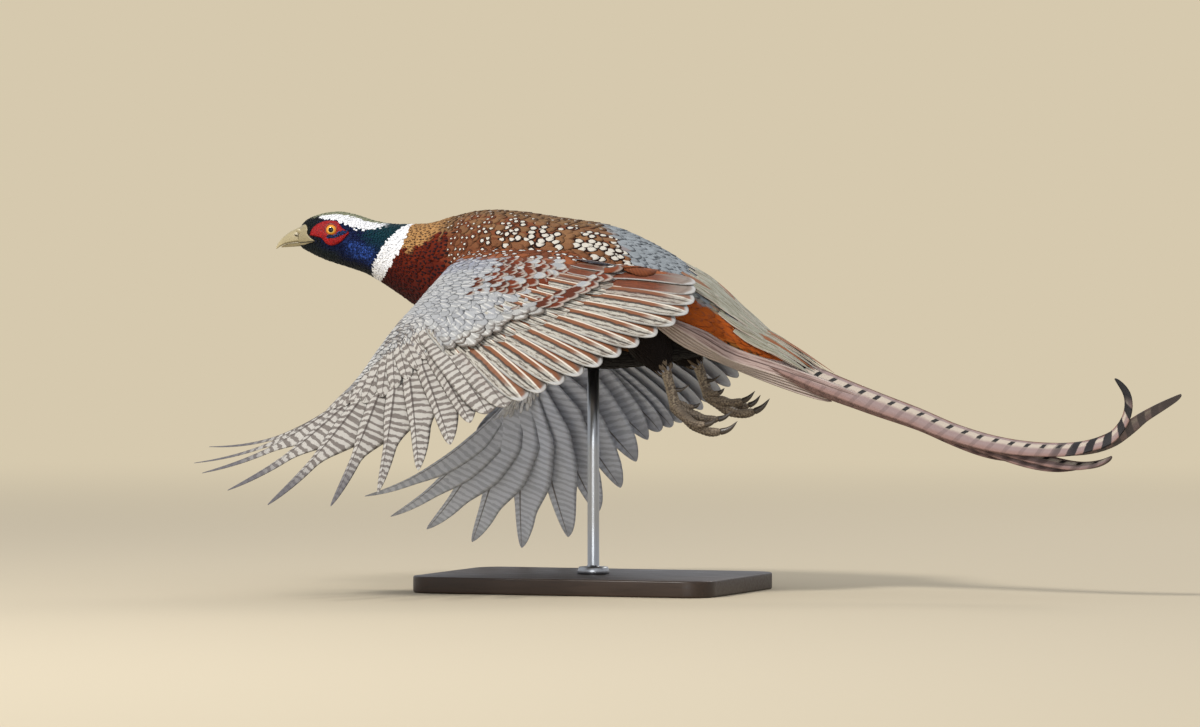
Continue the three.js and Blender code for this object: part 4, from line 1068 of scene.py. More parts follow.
def secondaryLook(tree):
    # leading web with a pale fringe, a rufous band and brown-grey, trailing web cream with black marbling
    tone, inputs = secondaryTones, bladeInputs(tree)
    across, alongMm, fromTip, chance, kind, under = inputs
    # c runs from the leading edge, past the shaft at a half, to the trailing edge
    c, side = across * -0.5 + 0.5, abs(across)
    ragged = noise((c * 3.0, alongMm * 0.1, chance * 30.0), 1.0, 4, 0.7)
    wavy = c + (ragged - 0.5) * 0.16
    streaks = noise((c * 18.0, alongMm * 0.12, chance * 70.0), 1.0, 4, 0.75, 0.6)
    cream = blend(streaks.step(0.5, 0.62, 0.0, 0.75), tone["cream"], tone["marbling"])
    warm = blend(fromTip.step(30.0, 14.0), tone["rufous"], cream)
    darkLine = wavy.step(0.22, 0.27) * wavy.step(0.35, 0.31) * streaks.step(0.28, 0.4) * 0.92
    sideLine = wavy.step(0.08, 0.1) * wavy.step(0.16, 0.13) * streaks.step(0.4, 0.5) * 0.8
    colour = layers(
        blend(wavy.step(0.66, 0.82), tone["rufous"], tone["brown"]),
        (wavy.step(0.56, 0.5), warm), (wavy.step(0.33, 0.28), cream), (darkLine, tone["line"]),
        (sideLine, tone["sideLine"]), (side.step(0.08, 0.04) * 0.8, tone["shaft"]),
    )
    # the innermost feathers: grey middle, chestnut sides
    tertial = layers(
        blend(streaks.step(0.4, 0.6, 0.0, 0.7), tone["chestnut"], tone["chestnutDark"]),
        (abs(wavy - 0.5).step(0.12, 0.04, 0.0, 0.6), tone["middle"]),
        (fromTip.step(36.0, 8.0, 0.0, 0.75), tone["innerTip"]),
    )
    rim = across * across * -6.0 + fromTip
    fringe = rim.step(5.0, 1.5).math("MAXIMUM", side.step(0.84, 0.93)) * 0.85
    colour = layers(
        colour, (kind.step(0.0, -0.9), tertial), (fringe, tone["fringe"]),
        (rim.step(5.0, 6.5) * rim.step(9.0, 7.0) * 0.3, tone["inFringe"]), (under, tone["under"]),
        (kind.step(0.0, 1.0), barredColours(*inputs)),
    )
    return finishBlade(colour, across, alongMm)


tailTones = tones(
    cream=(192, 178, 162), mauve=(152, 130, 126), outer=(140, 104, 92), fringe=(132, 78, 46), bar=(22, 18, 18),
    tipBar=(28, 24, 26), tip=(26, 24, 26), plain=(172, 150, 142), plainDark=(116, 90, 82), olive=(158, 158, 144),
    oliveDark=(112, 104, 84), sides=(196, 182, 172), shaft=(92, 72, 66), rufous=(134, 82, 50), under=(96, 88, 90),
)


def tailLook(tree):
    # from the ridge outwards: rufous fringe, cream with black bars, then mauve-grey with faint bars
    tone = tailTones
    across, alongMm, fromTip, chance, kind, under = bladeInputs(tree)
    c, side = across * 0.5 + 0.5, abs(across)
    wobble = noise((c * 4.0, alongMm * 0.09, chance), 1.0, 3)
    shifted = c + (wobble - 0.5) * 0.14
    barWave = ((alongMm + c * 6.0) * 0.449 + wobble * 0.8).math("SINE")
    inBand = shifted.step(0.2, 0.28) * shifted.step(0.6, 0.5)
    colour = layers(
        blend(shifted.step(0.48, 0.64), tone["cream"], tone["mauve"]), (shifted.step(0.28, 0.2), tone["mauve"]),
        (shifted.step(0.72, 0.95) * 0.7, tone["outer"]), (shifted.step(0.12, 0.04), tone["fringe"]),
        (barWave.step(0.5, 0.75) * inBand.math("MAXIMUM", 0.22), tone["bar"]),
        (barWave.step(-0.4, 0.1) * fromTip.step(120.0, 80.0) * kind, tone["tipBar"]),
        (fromTip.step(34.0, 16.0) * kind, tone["tip"]),
    )
    # feathers of kind below zero: plain, olive or mauve-brown, with pale sides
    fine = noise((across * 5.0, alongMm * 0.05, chance * 60.0), 1.0, 4, 0.7).step(0.4, 0.65)
    olive = kind.step(-1.3, -1.7)
    plain = layers(
        blend(fine, tone["plain"], tone["plainDark"]), (olive, blend(fine, tone["olive"], tone["oliveDark"])),
        (side.step(0.6, 0.95, 0.0, 0.85), tone["sides"]),
        (side.step(0.12, 0.05) * kind.step(-1.7, -1.3), tone["shaft"]),
        (chance.step(0.8, 0.9) * olive, tone["rufous"]),
    )
    return finishBlade(layers(colour, (kind.step(0.0, -0.4), plain), (under * 0.7, tone["under"])), across, alongMm)


primaryFeather = makeMaterial("primaryFeather", primaryLook, 0.6, 0.25)
secondaryFeather = makeMaterial("secondaryFeather", secondaryLook, 0.62, 0.25)
tailFeather = makeMaterial("tailFeather", tailLook, 0.55, 0.3)


def roundEnd(t, power):
    # full width along the feather, drawn in to a round end; a higher power keeps it full for longer
    return np.sqrt(np.maximum(0, 1 - t ** power))


def flightBlades(wing, name, steps=34):
    # the left wing's outer primaries narrow to fingers half way along, the right wing's less; webs run to a point
    t, left = bladeSpacing(steps), wing.side < 0
    rise = np.minimum(1, 0.3 + 2.4 * t)
    for label, material in (("Primaries", primaryFeather), ("Secondaries", secondaryFeather)):
        n = np.arange(handCount) if label == "Primaries" else handCount + np.arange(wingPlan["secondaries"])
        n = n.astype(float)
        width = tableAt(wingPlan["widths"], n)
        if label == "Primaries":
            fingered = (smooth(9.5, 5.0, n) if left else smooth(6.5, 3.0, n))[:, None]
            point = np.maximum(0, 1 - t ** (2.6 if left else 3.4)) ** 0.8
            narrow = mix(1, 0.32, smooth(0.38, 0.66, t)) if left else mix(1, 0.6, smooth(0.5, 0.76, t))
            web = width * rise * mix(1, narrow, fingered)
            webs = [0.84 * (1.12 if left else 1.38) * web * point + 0.15, 0.2 * web * roundEnd(t, 8) + 0.15]
            kinds = 1 + smooth(7, 4, n)
        else:
            web = (1.0 if left else 1.25) * width * rise * roundEnd(t, 9)
            webs = [0.6 * web + 0.15, 0.42 * web + 0.15]
            kinds = smooth(12.5, 10.5, n) - smooth(21.2, 23.4, n)
        webs[0] = webs[0] * (1 + 0.025 * np.cumsum(rng.normal(0, 1, (len(n), steps)), 1) / 4)  # ragged
        layBlades(
            name + label, material, wing.shaft(n[:, None], t[None]), wing.face(n)[:, None], webs,
            wing.towardsTip(n, 25)[:, None], kinds, width, tilt=0.16,
        )
    print(name, "flight feathers")


tiers = (
    # label, counts from and to, how many, where over the arm they start, reach along the flight feathers, lift, width
    ("GreaterHand", 0.3, 9.4, 12, 0.42, 0.25, 2.2, 13),
    ("GreaterArm", 9.8, 25.0, 18, 0.25, 0.46, 1.4, 21),
)


def tierBlades(wing, name, steps=20):
    # blades over the roots of the flight feathers, from the arm's upper face to a share of the shaft below each
    t = bladeSpacing(steps)
    web = np.minimum(1, 0.5 + 2 * t) * roundEnd(t, 6)
    for label, first, final, count, start, reach, lift, width in tiers:
        n = np.linspace(first, final, count) + rng.normal(0, 0.05, count)
        s, face = wing.rootAt(n), wing.face(n)
        a = wing.chord(s, start, 0.36 * wing.thickAt(s))
        c = wing.shaft(n, reach * rng.uniform(0.95, 1.05, count)) + face * lift
        b = (a + c) / 2 + face * 0.6
        layBlades(
            name + label, secondaryFeather,
            quadratic(a[:, None], b[:, None], c[:, None], t[None, :, None]), face[:, None],
            [0.56 * width * web + 0.1, 0.46 * width * web + 0.1], wing.towardsTip(n, 25)[:, None],
            smooth(11.0, 9.6, n) - smooth(21.2, 23.4, n), width, tilt=0.08, arch=0.05,
        )


for sideName, side in (("left", -1), ("right", 1)):
    wing, label = Wing(side), "wing" + sideName.capitalize()
    armSkin(wing, label + "Skin", (f"wing_{sideName}_inner", f"wing_{sideName}_hand"))
    flightBlades(wing, label)
    tierBlades(wing, label + "Upper")
    wingCoat(wing, label + "UpperCoat", True)
    wingCoat(wing, label + "UnderCoat", False)

# Tail: nine feathers a side, stacked like a roof under a ridge line
tailPlan = {
    "line": [
        [92, 0, 248], [126, 0, 231], [157, 0, 210], [202, 0, 189], [250, 0, 170.5], [285, 0, 158], [319, 0, 144.5],
        [354, 0, 135], [389, 0, 130.5], [424, 0, 131], [446, 0, 136.5],
    ],
    "straightEnd": [[462, 0, 145], [477, 0, 155], [494, 0, 164], [512, 0, 172]],
    "curledEnd": [[456, 0, 144], [463, 0, 156], [463.5, 0, 169], [455, 0, 184]],
    "reach": [1, 0.85, 0.79, 0.68, 0.55, 0.44, 0.36, 0.3, 0.25],
    "roof": 0.72, "stack": 1.5, "width": 29, "outerWidth": 24, "shaftShare": 0.42,
    # the long feathers from the side of the rump: lowest and highest of the fan
    "sideLow": np.array([[56, -50, 238], [95, -31.5, 211], [122, -14, 197.5], [157, -17, 184], [212, -13, 163]]),
    "sideHigh": np.array([[78, -46, 231], [104, -36, 217], [126, -26, 203], [158, -19, 192], [236, -12, 167]]),
}


def tailBlade(k, side, t):
    # one of a side's feathers: the ridge line as far as it reaches, set out and down, with its face and its width
    plan = tailPlan
    curled = k == 0 and side < 0
    line = smoothLine(plan["line"] + plan["curledEnd" if curled else "straightEnd"], 400, 400)
    path = np.stack([np.interp(t * plan["reach"][k] * 399, np.arange(400), column) for column in line.T], 1)
    droop = 18 * smooth(0.5, 0.85, plan["reach"][k]) if k else 0
    path[:, 1] = side * (0.5 + 0.3 * k)
    path[:, 2] -= droop * smooth(0.72, 1, t) + plan["stack"] * k
    roof = math.atan(plan["roof"]) + 0.03 * k
    face = np.tile(unit(np.array([0.25, side * math.sin(roof), math.cos(roof)])), (len(t), 1))
    web = mix(plan["width"], plan["outerWidth"], k / 8) * np.minimum(1, 0.35 + 3 * t) * mix(1, 0.5, t ** 1.4)
    web = web * roundEnd(t, 9 if k else 22)
    if k == 0:
        web = web * mix(1, 0.55 if curled else 0.75, smooth(0.8, 0.92, t))
    if curled:
        face = unit(face + smooth(0.84, 0.93, t)[:, None] * [-0.5, -1.6, 0.0])
    out = np.cross(unit(np.gradient(path, axis=0)), face)
    out *= np.sign(out[0, 1] * side)
    share = plan["shaftShare"]
    return path + out * (web * share)[:, None], face, web * share + 0.1, web * (1 - share) + 0.1


def tailBlades(steps=72):
    t = bladeSpacing(steps)
    for side, label in ((-1, "Left"), (1, "Right")):
        for part, pairs, kind in (("Central", [0], 1.0), ("Outer", range(1, 9), 0.35)):
            paths, faces, *webs = (np.array(v) for v in zip(*(tailBlade(k, side, t) for k in pairs)))
            layBlades(
                f"tail{label}{part}", tailFeather, paths, faces, webs, np.array([0, side, -0.6]),
                kind, 28.0, arch=0.05, shaftWidth=1.6,
                replaces=("tail",) if kind == 1 and side < 0 else (),
            )


def tailCoverts(steps=26, fan=5, count=40):
    # long feathers from the side of the rump along the tail, and narrow ones over its base
    plan, t = tailPlan, bladeSpacing(steps)
    ridge = [[p[0], p[2]] for p in plan["line"]]
    for side, label in ((-1, "Left"), (1, "Right")):
        low, high = (plan[key] * np.array([1, -side, 1]) for key in ("sideLow", "sideHigh"))
        share = np.linspace(0, 1, fan)
        at = np.minimum(119, (t * 119).astype(int))
        paths = np.array([smoothLine(low + (high - low) * k, 120, 120)[at] for k in share])
        paths += np.array([0, side, 0.3]) * (share * 1.4)[:, None, None]
        web = 6.6 * np.minimum(1, 0.4 + 3 * t) * roundEnd(t, 4) + 0.1
        layBlades(
            f"tailSide{label}", tailFeather, paths, unit(np.array([0.15, side * 0.85, 0.45])),
            (web, web), np.array([0.3, 0, -1.0]), -1.0, 12.0, 150.0, arch=0.08,
        )
        # from the back's surface, over its lower end, to a roof over the ridge line
        start = 78 + 70 * (np.arange(count) + rng.random(count)) / count
        down = (0.26 + 0.2 * smooth(104, 134, start)) * np.mod(np.arange(count) * 0.618, 1.0)
        angle = np.pi / 2 - side * np.pi * down
        reach = start + mix(36, 64, rng.random(count))
        out = down / 0.46 * 15
        tip = np.stack([reach, side * out, columnAt(ridge, reach) + 2.4 - plan["roof"] * out], 1)
        near, middle = bodyPoint(start, angle, 0.2), bodyPoint(np.minimum(start + 18, 150), angle, 1.4)
        over = middle + (tip - middle) * 0.42 + [0, 0, 1.5]
        at = (t * 89).astype(int)
        paths = np.array([smoothLine(four, 90, 90)[at] for four in zip(near, middle, over, tip)])
        faces = unit(np.stack([np.full(count, 0.35), np.cos(angle) * 0.9, np.sin(angle) + 0.3], 1))[:, None]
        web = rng.uniform(2.6, 3.6, count)[:, None] * np.minimum(1, 0.45 + 3 * t) * np.maximum(0, 1 - t ** 2.4) + 0.06
        layBlades(
            f"tailCover{label}", tailFeather, paths, faces, (web, web), np.array([0, side, -1.0]),
            -2.0, 6.0, 80.0, arch=0.12, thick=0.3, shaftWidth=0.7,
        )


tailBlades()
tailCoverts()
print("tail")


# Head: eyes, lids, wattles, bill

def headPlace(side, forward, up, lift):
    # a point on the side of the head, by distance ahead of and above the eye, raised off the body's surface
    x, z = eyeStation - forward, eyeHeight + up
    return turned(x, side * (sideAt(x, z) + lift), z)


headTones = tones(
    iris=(196, 92, 22), irisPale=(244, 170, 52), irisInner=(226, 196, 96), irisOuter=(150, 52, 22),
    wattle=(134, 3, 5), wattleBright=(180, 12, 12), wattleGroove=(104, 4, 10), lid=(84, 26, 26),
    lidPale=(176, 92, 84), horn=(138, 126, 94), hornPale=(178, 164, 126), hornBase=(108, 98, 74),
    hornTip=(192, 176, 134), nostril=(64, 50, 34), cheek=(20, 26, 40), cheekBlue=(44, 66, 120),
    cheekEdge=(10, 10, 16),
)


def irisLook(tree):
    # rings round the eye's axis: pupil, orange iris with a paler rim, dark outer ring
    tone = headTones
    x, y, _ = read(tree, "local").split()
    away = (x * x + y * y).math("SQRT")
    rays = noise((y.math("ARCTAN2", x) * 7.0, away * 0.5, 0.0), 1.6, 3)
    colour = layers(
        blend(rays, tone["iris"], tone["irisPale"]), (away.step(3.1, 2.4), tone["irisInner"]),
        (away.step(3.9, 4.6), tone["irisOuter"]), (away.step(2.35, 2.15), (0.004, 0.004, 0.005)),
        (away.step(4.7, 4.95), (0.012, 0.01, 0.01)),
    )
    return {"Base Color": colour, "Coat Weight": 0.35, "Coat Roughness": 0.04, "Coat IOR": 1.45}


def wattleLook(tree):
    # red papillae: rounded cells with darker grooves, in millimetres of the surface
    tone, local = headTones, read(tree, "local")
    away = cells(local, 0.85, 0.9)
    colour = blend(noise(local, 0.3, 3), tone["wattle"], tone["wattleBright"])
    return {
        "Base Color": blend(away.step(0.25, 0.75, 0.0, 0.7), colour, tone["wattleGroove"]),
        "Normal": bump(away * -1.0 + 1.0, 0.9, 0.0005),
        "Subsurface Weight": 0.05, "Subsurface Radius": (0.002, 0.0006, 0.0004),
    }


def lidLook(tree):
    fine = noise(read(tree, "local"), 1.4, 3)
    return {"Base Color": blend(fine, headTones["lid"], headTones["lidPale"]), "Normal": bump(fine, 0.5, 0.0003)}


def billLook(tree):
    # pale horn, greener at the base, paler towards the tip, streaked lengthwise
    tone = headTones
    ahead, across, up = read(tree, "local").split()
    streaks = noise((ahead * 0.12, across, up), 1.3, 4, 0.65)
    colour = layers(
        blend(streaks, tone["horn"], tone["hornPale"]), (ahead.step(3.0, -2.0, 0.0, 0.25), tone["hornBase"]),
        (ahead.step(13.0, 20.0, 0.0, 0.4), tone["hornTip"]),
    )
    return {"Base Color": colour, "Normal": bump(streaks, 0.08, 0.0002), "Coat Weight": 0.25, "Coat Roughness": 0.25}


eyeBall = makeMaterial("eyeBall", irisLook, 0.12, 0.3)
wattleSkin = makeMaterial("wattleSkin", wattleLook, 0.5, 0.25)
lidSkin = makeMaterial("lidSkin", lidLook, 0.5, 0.4)
horn = makeMaterial("horn", billLook, 0.38, 0.45)
mouthDark = makeMaterial("mouthDark", lambda tree: {"Base Color": (0.012, 0.009, 0.008)}, 0.6, 0.4)
nostrilBrown = makeMaterial("nostril", lambda tree: {"Base Color": headTones["nostril"]}, 0.6, 0.4)


def solidPiece(name, verts, faces, material, local=None, replaces=()):
    # its UV map is its own coordinates, scaled to their box: the first across, the mean of the others up
    local = verts if local is None else local
    share = (local - local.min(0)) / np.maximum(np.ptp(local, axis=0), 1e-6)
    uv = 0.05 + 0.9 * np.stack([share[:, 0], share[:, 1:].mean(1)], 1)
    makePiece(name, verts, outwards(verts, faces), material, {"local": local}, uv, replaces)


def eyePieces(side, sideName):
    # the eyeball: a sphere open at its back, bulging a little at the middle
    rows, columns = 28, 56
    polar, around = np.meshgrid(np.linspace(0, 0.62 * np.pi, rows), turnSteps(columns), indexing="ij")
    bulge = eyeRadius - 0.25 + 0.3 * np.exp(-(polar / 0.42) ** 2)
    f, u, o = np.sin(polar) * np.cos(around), np.sin(polar) * np.sin(around), np.cos(polar)
    f, u, o = f * bulge, u * bulge, o * bulge
    points = turned(eyeStation - f, side * (eyeSide + o), eyeHeight + u).reshape(-1, 3)
    last, ring = len(points) - columns, np.arange(columns)
    verts = np.vstack([points, points[last:].mean(0)])
    fan = np.stack([last + ring, last + (ring + 1) % columns, np.full(columns, len(points))], 1)
    local = np.vstack([np.stack([f, u, o], -1).reshape(-1, 3), [9, 9, 0]])
    faces = [gridFaces(rows, columns, wrap=True), fan]
    solidPiece(f"eye{sideName}", verts, faces, eyeBall, local, (f"eye_{sideName.lower()}",))
    # the lid, a soft ring a little taller than wide that stands on the eyeball's rim
    a, b = np.meshgrid(turnSteps(72), turnSteps(14), indexing="ij")
    radius = headPlan["lidRadius"]
    reach = radius + 0.5 * np.cos(b) + 0.08 * np.sin(5 * a) * np.cos(b)
    f, u = reach * np.cos(a), reach * np.sin(a) * 0.96
    level = eyeSide + math.sqrt(eyeRadius ** 2 - radius ** 2) + 0.6 * np.sin(b) + 0.1
    points = turned(eyeStation - f, side * level, eyeHeight + u).reshape(-1, 3)
    faces = [gridFaces(72, 14, wrap=True, loop=True)]
    solidPiece(f"lid{sideName}", points, faces, lidSkin, np.stack([f, u, level], -1).reshape(-1, 3))


def cushion(rim, start, first, there, back):
    # lines from a start to each point of a rim and back beneath it: the places, their share of the way out, and
    # whether they are on top
    t = np.concatenate([np.linspace(first, 1, there), np.linspace(1, first, back)])
    return start + (rim - start) * t[:, None, None], t, (np.arange(there + back) < there)[:, None]


def wattlePiece(side, sideName):
    # a raised cushion between the lid and its outline, its edge sunk under the feathers
    rim = closedRim(headPlan["wattle"], 400, 168)
    place, t, top = cushion(rim, unit(rim) * 5.0, 0, 26, 8)
    f, u = place[..., 0], place[..., 1]
    swell = np.abs(2 * t - 1)[:, None]
    wrinkle = 0.16 * np.sin(f * 2.9 + 1.3 * np.sin(u * 1.7)) * np.sin(u * 3.1 + f) * (swell < 0.96)
    lift = np.where(top, 1.5 * np.sqrt(np.maximum(0, 1 - swell ** 3)) - 0.35 + wrinkle, -1.6)
    solidPiece(
        f"wattle{sideName}", headPlace(side, f, u, lift).reshape(-1, 3), [gridFaces(34, 168, wrap=True, loop=True)],
        wattleSkin, np.stack([f, u, lift], -1).reshape(-1, 3), (f"wattle_{sideName.lower()}",),
    )
    # a streak of short dark feathers under and behind the eye
    forward, up = np.meshgrid(np.linspace(7, -15, 90), np.linspace(-10, 3, 50), indexing="ij")
    sheet = makeSheet(headPlace(side, forward, up, 1.1), flip=side > 0)
    s, r = (v.ravel() for v in np.meshgrid(np.linspace(0, 1, 27), np.linspace(-1.5, 1.5, 6), indexing="ij"))
    f = 4.6 - 16.4 * s + rng.normal(0, 0.12, len(s))
    spread = np.sqrt(np.maximum(0, 1 - ((s - 0.5) / 0.56) ** 2))
    height = -6.4 + 4.4 * s ** 1.3 + r * spread + rng.normal(0, 0.1, len(s))
    keep = np.hypot(f, height) > 5.6
    f, height = f[keep], height[keep]
    count = len(f)
    chance = rng.random(count)
    tone = headTones
    looks = newLooks(count, tone["cheek"], 0.6, tone["cheekEdge"], tone["cheek"], 0.3)
    paint(looks["base"], chance > 0.55, tone["cheekBlue"], 0.9)
    turn = rng.normal(0.25, 0.12, count)
    length, width = rng.uniform(2.0, 3.0, count), rng.uniform(0.8, 1.2, count)
    u, v = (7 - f) / 22 * 89, (height + 10) / 13 * 49
    feathers = layFeathers(sheet, u, v, length, width, turn, np.full(count, 0.35), sink=0.3)
    rootUv = bodyUv(eyeStation - f, np.full(count, 0.3 if side > 0 else 3.0))
    featherPieces(f"cheek{sideName}", feathers, looks, rootUv)


billPlan = {
    # distance ahead of the head's front, top, bottom, half width
    "bill_upper": [[-5, 309.6, 295.9, 7.6], [0, 308.6, 295.7, 7.0], [5, 306.6, 295.2, 6.6], [10, 304.0, 294.6, 5.4],
                   [15, 300.2, 293.4, 3.8], [19.4, 295.4, 291.0, 2.1], [21.6, 291.6, 289.4, 0.6]],
    "bill_lower": [[-5, 295.6, 291.6, 6.2], [0, 295.4, 292, 5.8], [6, 294.9, 291.6, 4.9], [12, 294.1, 291.3, 3.1],
                   [17, 292, 291, 1.2]],
}


def billPiece(name, node, steps=48, sides=44):
    # a pointed half: rounded on its outer side, nearly flat on its cutting side
    rows, up = billPlan[node], 1 if node == "bill_upper" else -1
    along = mix(rows[0][0], rows[-1][0], 1 - (1 - np.linspace(0, 1, steps)) ** 1.25)[:, None]
    top, bottom, half = columnsAt(rows, along)
    cosine, sine = np.cos(turnSteps(sides)), np.sin(turnSteps(sides))
    dome = np.where(sine >= 0, np.abs(sine) ** 0.9, 0.066 * np.abs(sine))
    y = half * np.sign(cosine) * np.abs(cosine) ** 0.85
    z = (bottom if up > 0 else top) + up * (0.15 + (top - bottom) * dome)
    along = along + 0 * y
    verts, faces = closeRings(turned(headPlan["billStart"] - along, y, z))
    local, _ = closeRings(np.stack([along, y, z], -1))
    solidPiece(name, verts, turnFaces(faces), horn, local, (node,))


def smallBlob(name, centre, size, material, tiltBack, rows=16, columns=24):
    # an ellipsoid in the head's own directions: ahead, to the side, up
    polar, around = np.meshgrid(np.linspace(0.001, np.pi - 0.001, rows), turnSteps(columns), indexing="ij")
    f, u = size[0] * np.sin(polar) * np.cos(around), size[2] * np.sin(polar) * np.sin(around)
    f, u = f * math.cos(tiltBack) - u * math.sin(tiltBack), f * math.sin(tiltBack) + u * math.cos(tiltBack)
    station, y, z = centre
    o = size[1] * np.cos(polar)
    verts, faces = closeRings(turned(station - f, y + o, z + u))
    local, _ = closeRings(np.stack([f + 1.0, o, u + 300], -1), np.array([[1, 0, 300]] * 2))
    solidPiece(name, verts, turnFaces(faces), material, local)


def hornPatch(side, sideName):
    # the bill's horn where it reaches back beside the nostril to the corner of the mouth
    rim = closedRim(headPlan["horn"], 300, 90)
    place, t, top = cushion(rim, np.array([25.5, -5.2]), 0.02, 14, 6)
    f, u = place[..., 0], place[..., 1]
    groove = 0.5 * np.exp(-((u + 10.2 + 0.06 * (f - 15)) / 0.45) ** 2)
    lift = np.where(top, 0.75 * np.sqrt(np.maximum(0, 1 - t ** 4))[:, None] - groove - 0.1, -1.2)
    local = np.stack([f - 29.5, lift, u + eyeHeight], -1).reshape(-1, 3)
    faces = [gridFaces(20, 90, wrap=True, loop=True)]
    solidPiece(f"hornPatch{sideName}", headPlace(side, f, u, lift).reshape(-1, 3), faces, horn, local)
    # the line of the mouth
    t = np.linspace(0, 1, 16)
    verts, faces = tubeMesh(headPlace(side, 15.6 + 13.8 * t, -10.0 - 1.0 * t, 0.42), 0.32 + 0 * t, 10)
    solidPiece(f"mouthLine{sideName}", verts, faces, mouthDark)


billPiece("billUpper", "bill_upper")
billPiece("billLower", "bill_lower")
for sideName, side in (("Left", -1), ("Right", 1)):
    eyePieces(side, sideName)
    wattlePiece(side, sideName)
    hornPatch(side, sideName)
    smallBlob(f"nostrilFlap{sideName}", (-265.2, side * 8.2, 304.6), (4.4, 2.0, 2.6), horn, 0.35)
    smallBlob(f"nostril{sideName}", (-269.6, side * 6.9, 301.4), (1.7, 0.7, 0.5), nostrilBrown, 0.3)
print("head")

# Legs: places of hip, cuff and ankle, and the toes and claws back, outward and up from the ankle, with their radius
legPlan = {
    "left": (-1, (56, -34, 214), (74, -40, 187), (84, -44, 157), 0.0),
    "right": (1, (56, 34, 214), (75, 38, 191), (84, 40, 165), 0.16),
}
toePlan = {
    "middle": ([[0, 0, 0], [12, 0, -11], [27, 0, -19], [41, 0, -19], [48, 0, -16.5], [55, 0, -10]], 3.6),
    "inner": ([[0, -1, 0], [12, -6, -5], [24, -9, -9], [34, -11, -9], [40, -12, -7], [46, -12.5, -2]], 3.2),
    "outer": ([[0, 1, 0], [11, 6, -8], [22, 10, -13], [31, 12, -13], [37, 13, -11], [42, 13.5, -5.5]], 3.1),
    "hallux": ([[-1, -3, 5], [3, -7, 3], [8, -9, 1], [12, -10, 1], [15, -10.5, 2], [18, -11, 4.5]], 2.4),
}
clawFrom = 0.74
legTones = tones(
    scale=(130, 112, 92), scalePale=(180, 165, 142), toe=(120, 104, 90), sole=(66, 60, 56), groove=(58, 46, 38),
    claw=(44, 38, 34), clawPale=(86, 76, 66), thighSkin=(58, 40, 28), thigh=(24, 18, 16), cuff=(118, 104, 88),
    cuffGrey=(142, 142, 150), thighEdge=(24, 18, 14),
)


def legLook(tree):
    # scutes: along the leg in x, round it in y; rows of plates in front, small scales elsewhere
    tone = legTones
    along, around, kind = read(tree, "local").split()
    plates = (along * 0.36).math("FRACT")
    groove = plates.step(0.12, 0.0).math("MAXIMUM", plates.step(0.88, 1.0))
    away, facing = cells(combine(along * 0.62, around * 2.3, 0.0), 1.0), around.math("COSINE")
    depth = blend(facing.step(0.2, 0.5), combine(away.step(0.3, 0.75), 0.0, 0.0), combine(groove, 0.0, 0.0))
    dark = depth.split()[0]
    colour = layers(
        blend(noise((along * 0.25, around, 0.0), 1.0, 3), tone["scale"], tone["scalePale"]),
        (kind.step(0.0, 1.0, 0.0, 0.4), tone["toe"]), (facing.step(-0.3, -0.75, 0.0, 0.5) * kind, tone["sole"]),
        (dark * 0.72, tone["groove"]),
    )
    return {"Base Color": colour, "Normal": bump(dark * -1.0 + 1.0, 0.8, 0.0006)}


def clawLook(tree):
    along, around, _ = read(tree, "local").split()
    return {"Base Color": blend(noise((along * 0.2, around, 0.0), 2.0, 3), legTones["claw"], legTones["clawPale"])}


legSkin, clawHorn = makeMaterial("legSkin", legLook, 0.5, 0.4), makeMaterial("clawHorn", clawLook, 0.3, 0.5)


def legTube(path, radii, sides, up, kind, flatten=1.0, wobble=0.0):
    # a tube with its own coordinates: millimetres along it, angle round it from the up side
    verts, faces = tubeMesh(path, radii, sides, up, flatten)
    run = runOf(path)
    angle = np.mod(turnSteps(sides) + np.pi / 2, 2 * np.pi) - np.pi
    local = np.stack(np.broadcast_arrays(run[:, None], angle, kind), -1)
    local, _ = closeRings(local, np.array([[run[0], 0, kind], [run[-1], 0, kind]]))
    centre = np.repeat(path, sides, axis=0)
    bumps = 1 + wobble * np.sin(run * 2 * np.pi * 0.36)
    verts[:-2] = centre + (verts[:-2] - centre) * np.repeat(bumps, sides)[:, None]
    return verts, faces, local


def legPiece(name, parts, material, replaces=()):
    # several tubes as one mesh
    base = np.cumsum([0] + [len(part[0]) for part in parts])
    faces = [np.vstack([part[1][k] + start for part, start in zip(parts, base)]) for k in (0, 1)]
    verts, local = (np.vstack([part[k] for part in parts]) for k in (0, 2))
    uv = np.stack([0.03 + 0.94 * local[:, 0] / max(1e-6, local[:, 0].max()), 0.5 + 0.45 * local[:, 1] / np.pi], 1)
    makePiece(name, verts, faces, material, {"local": local}, uv, replaces)


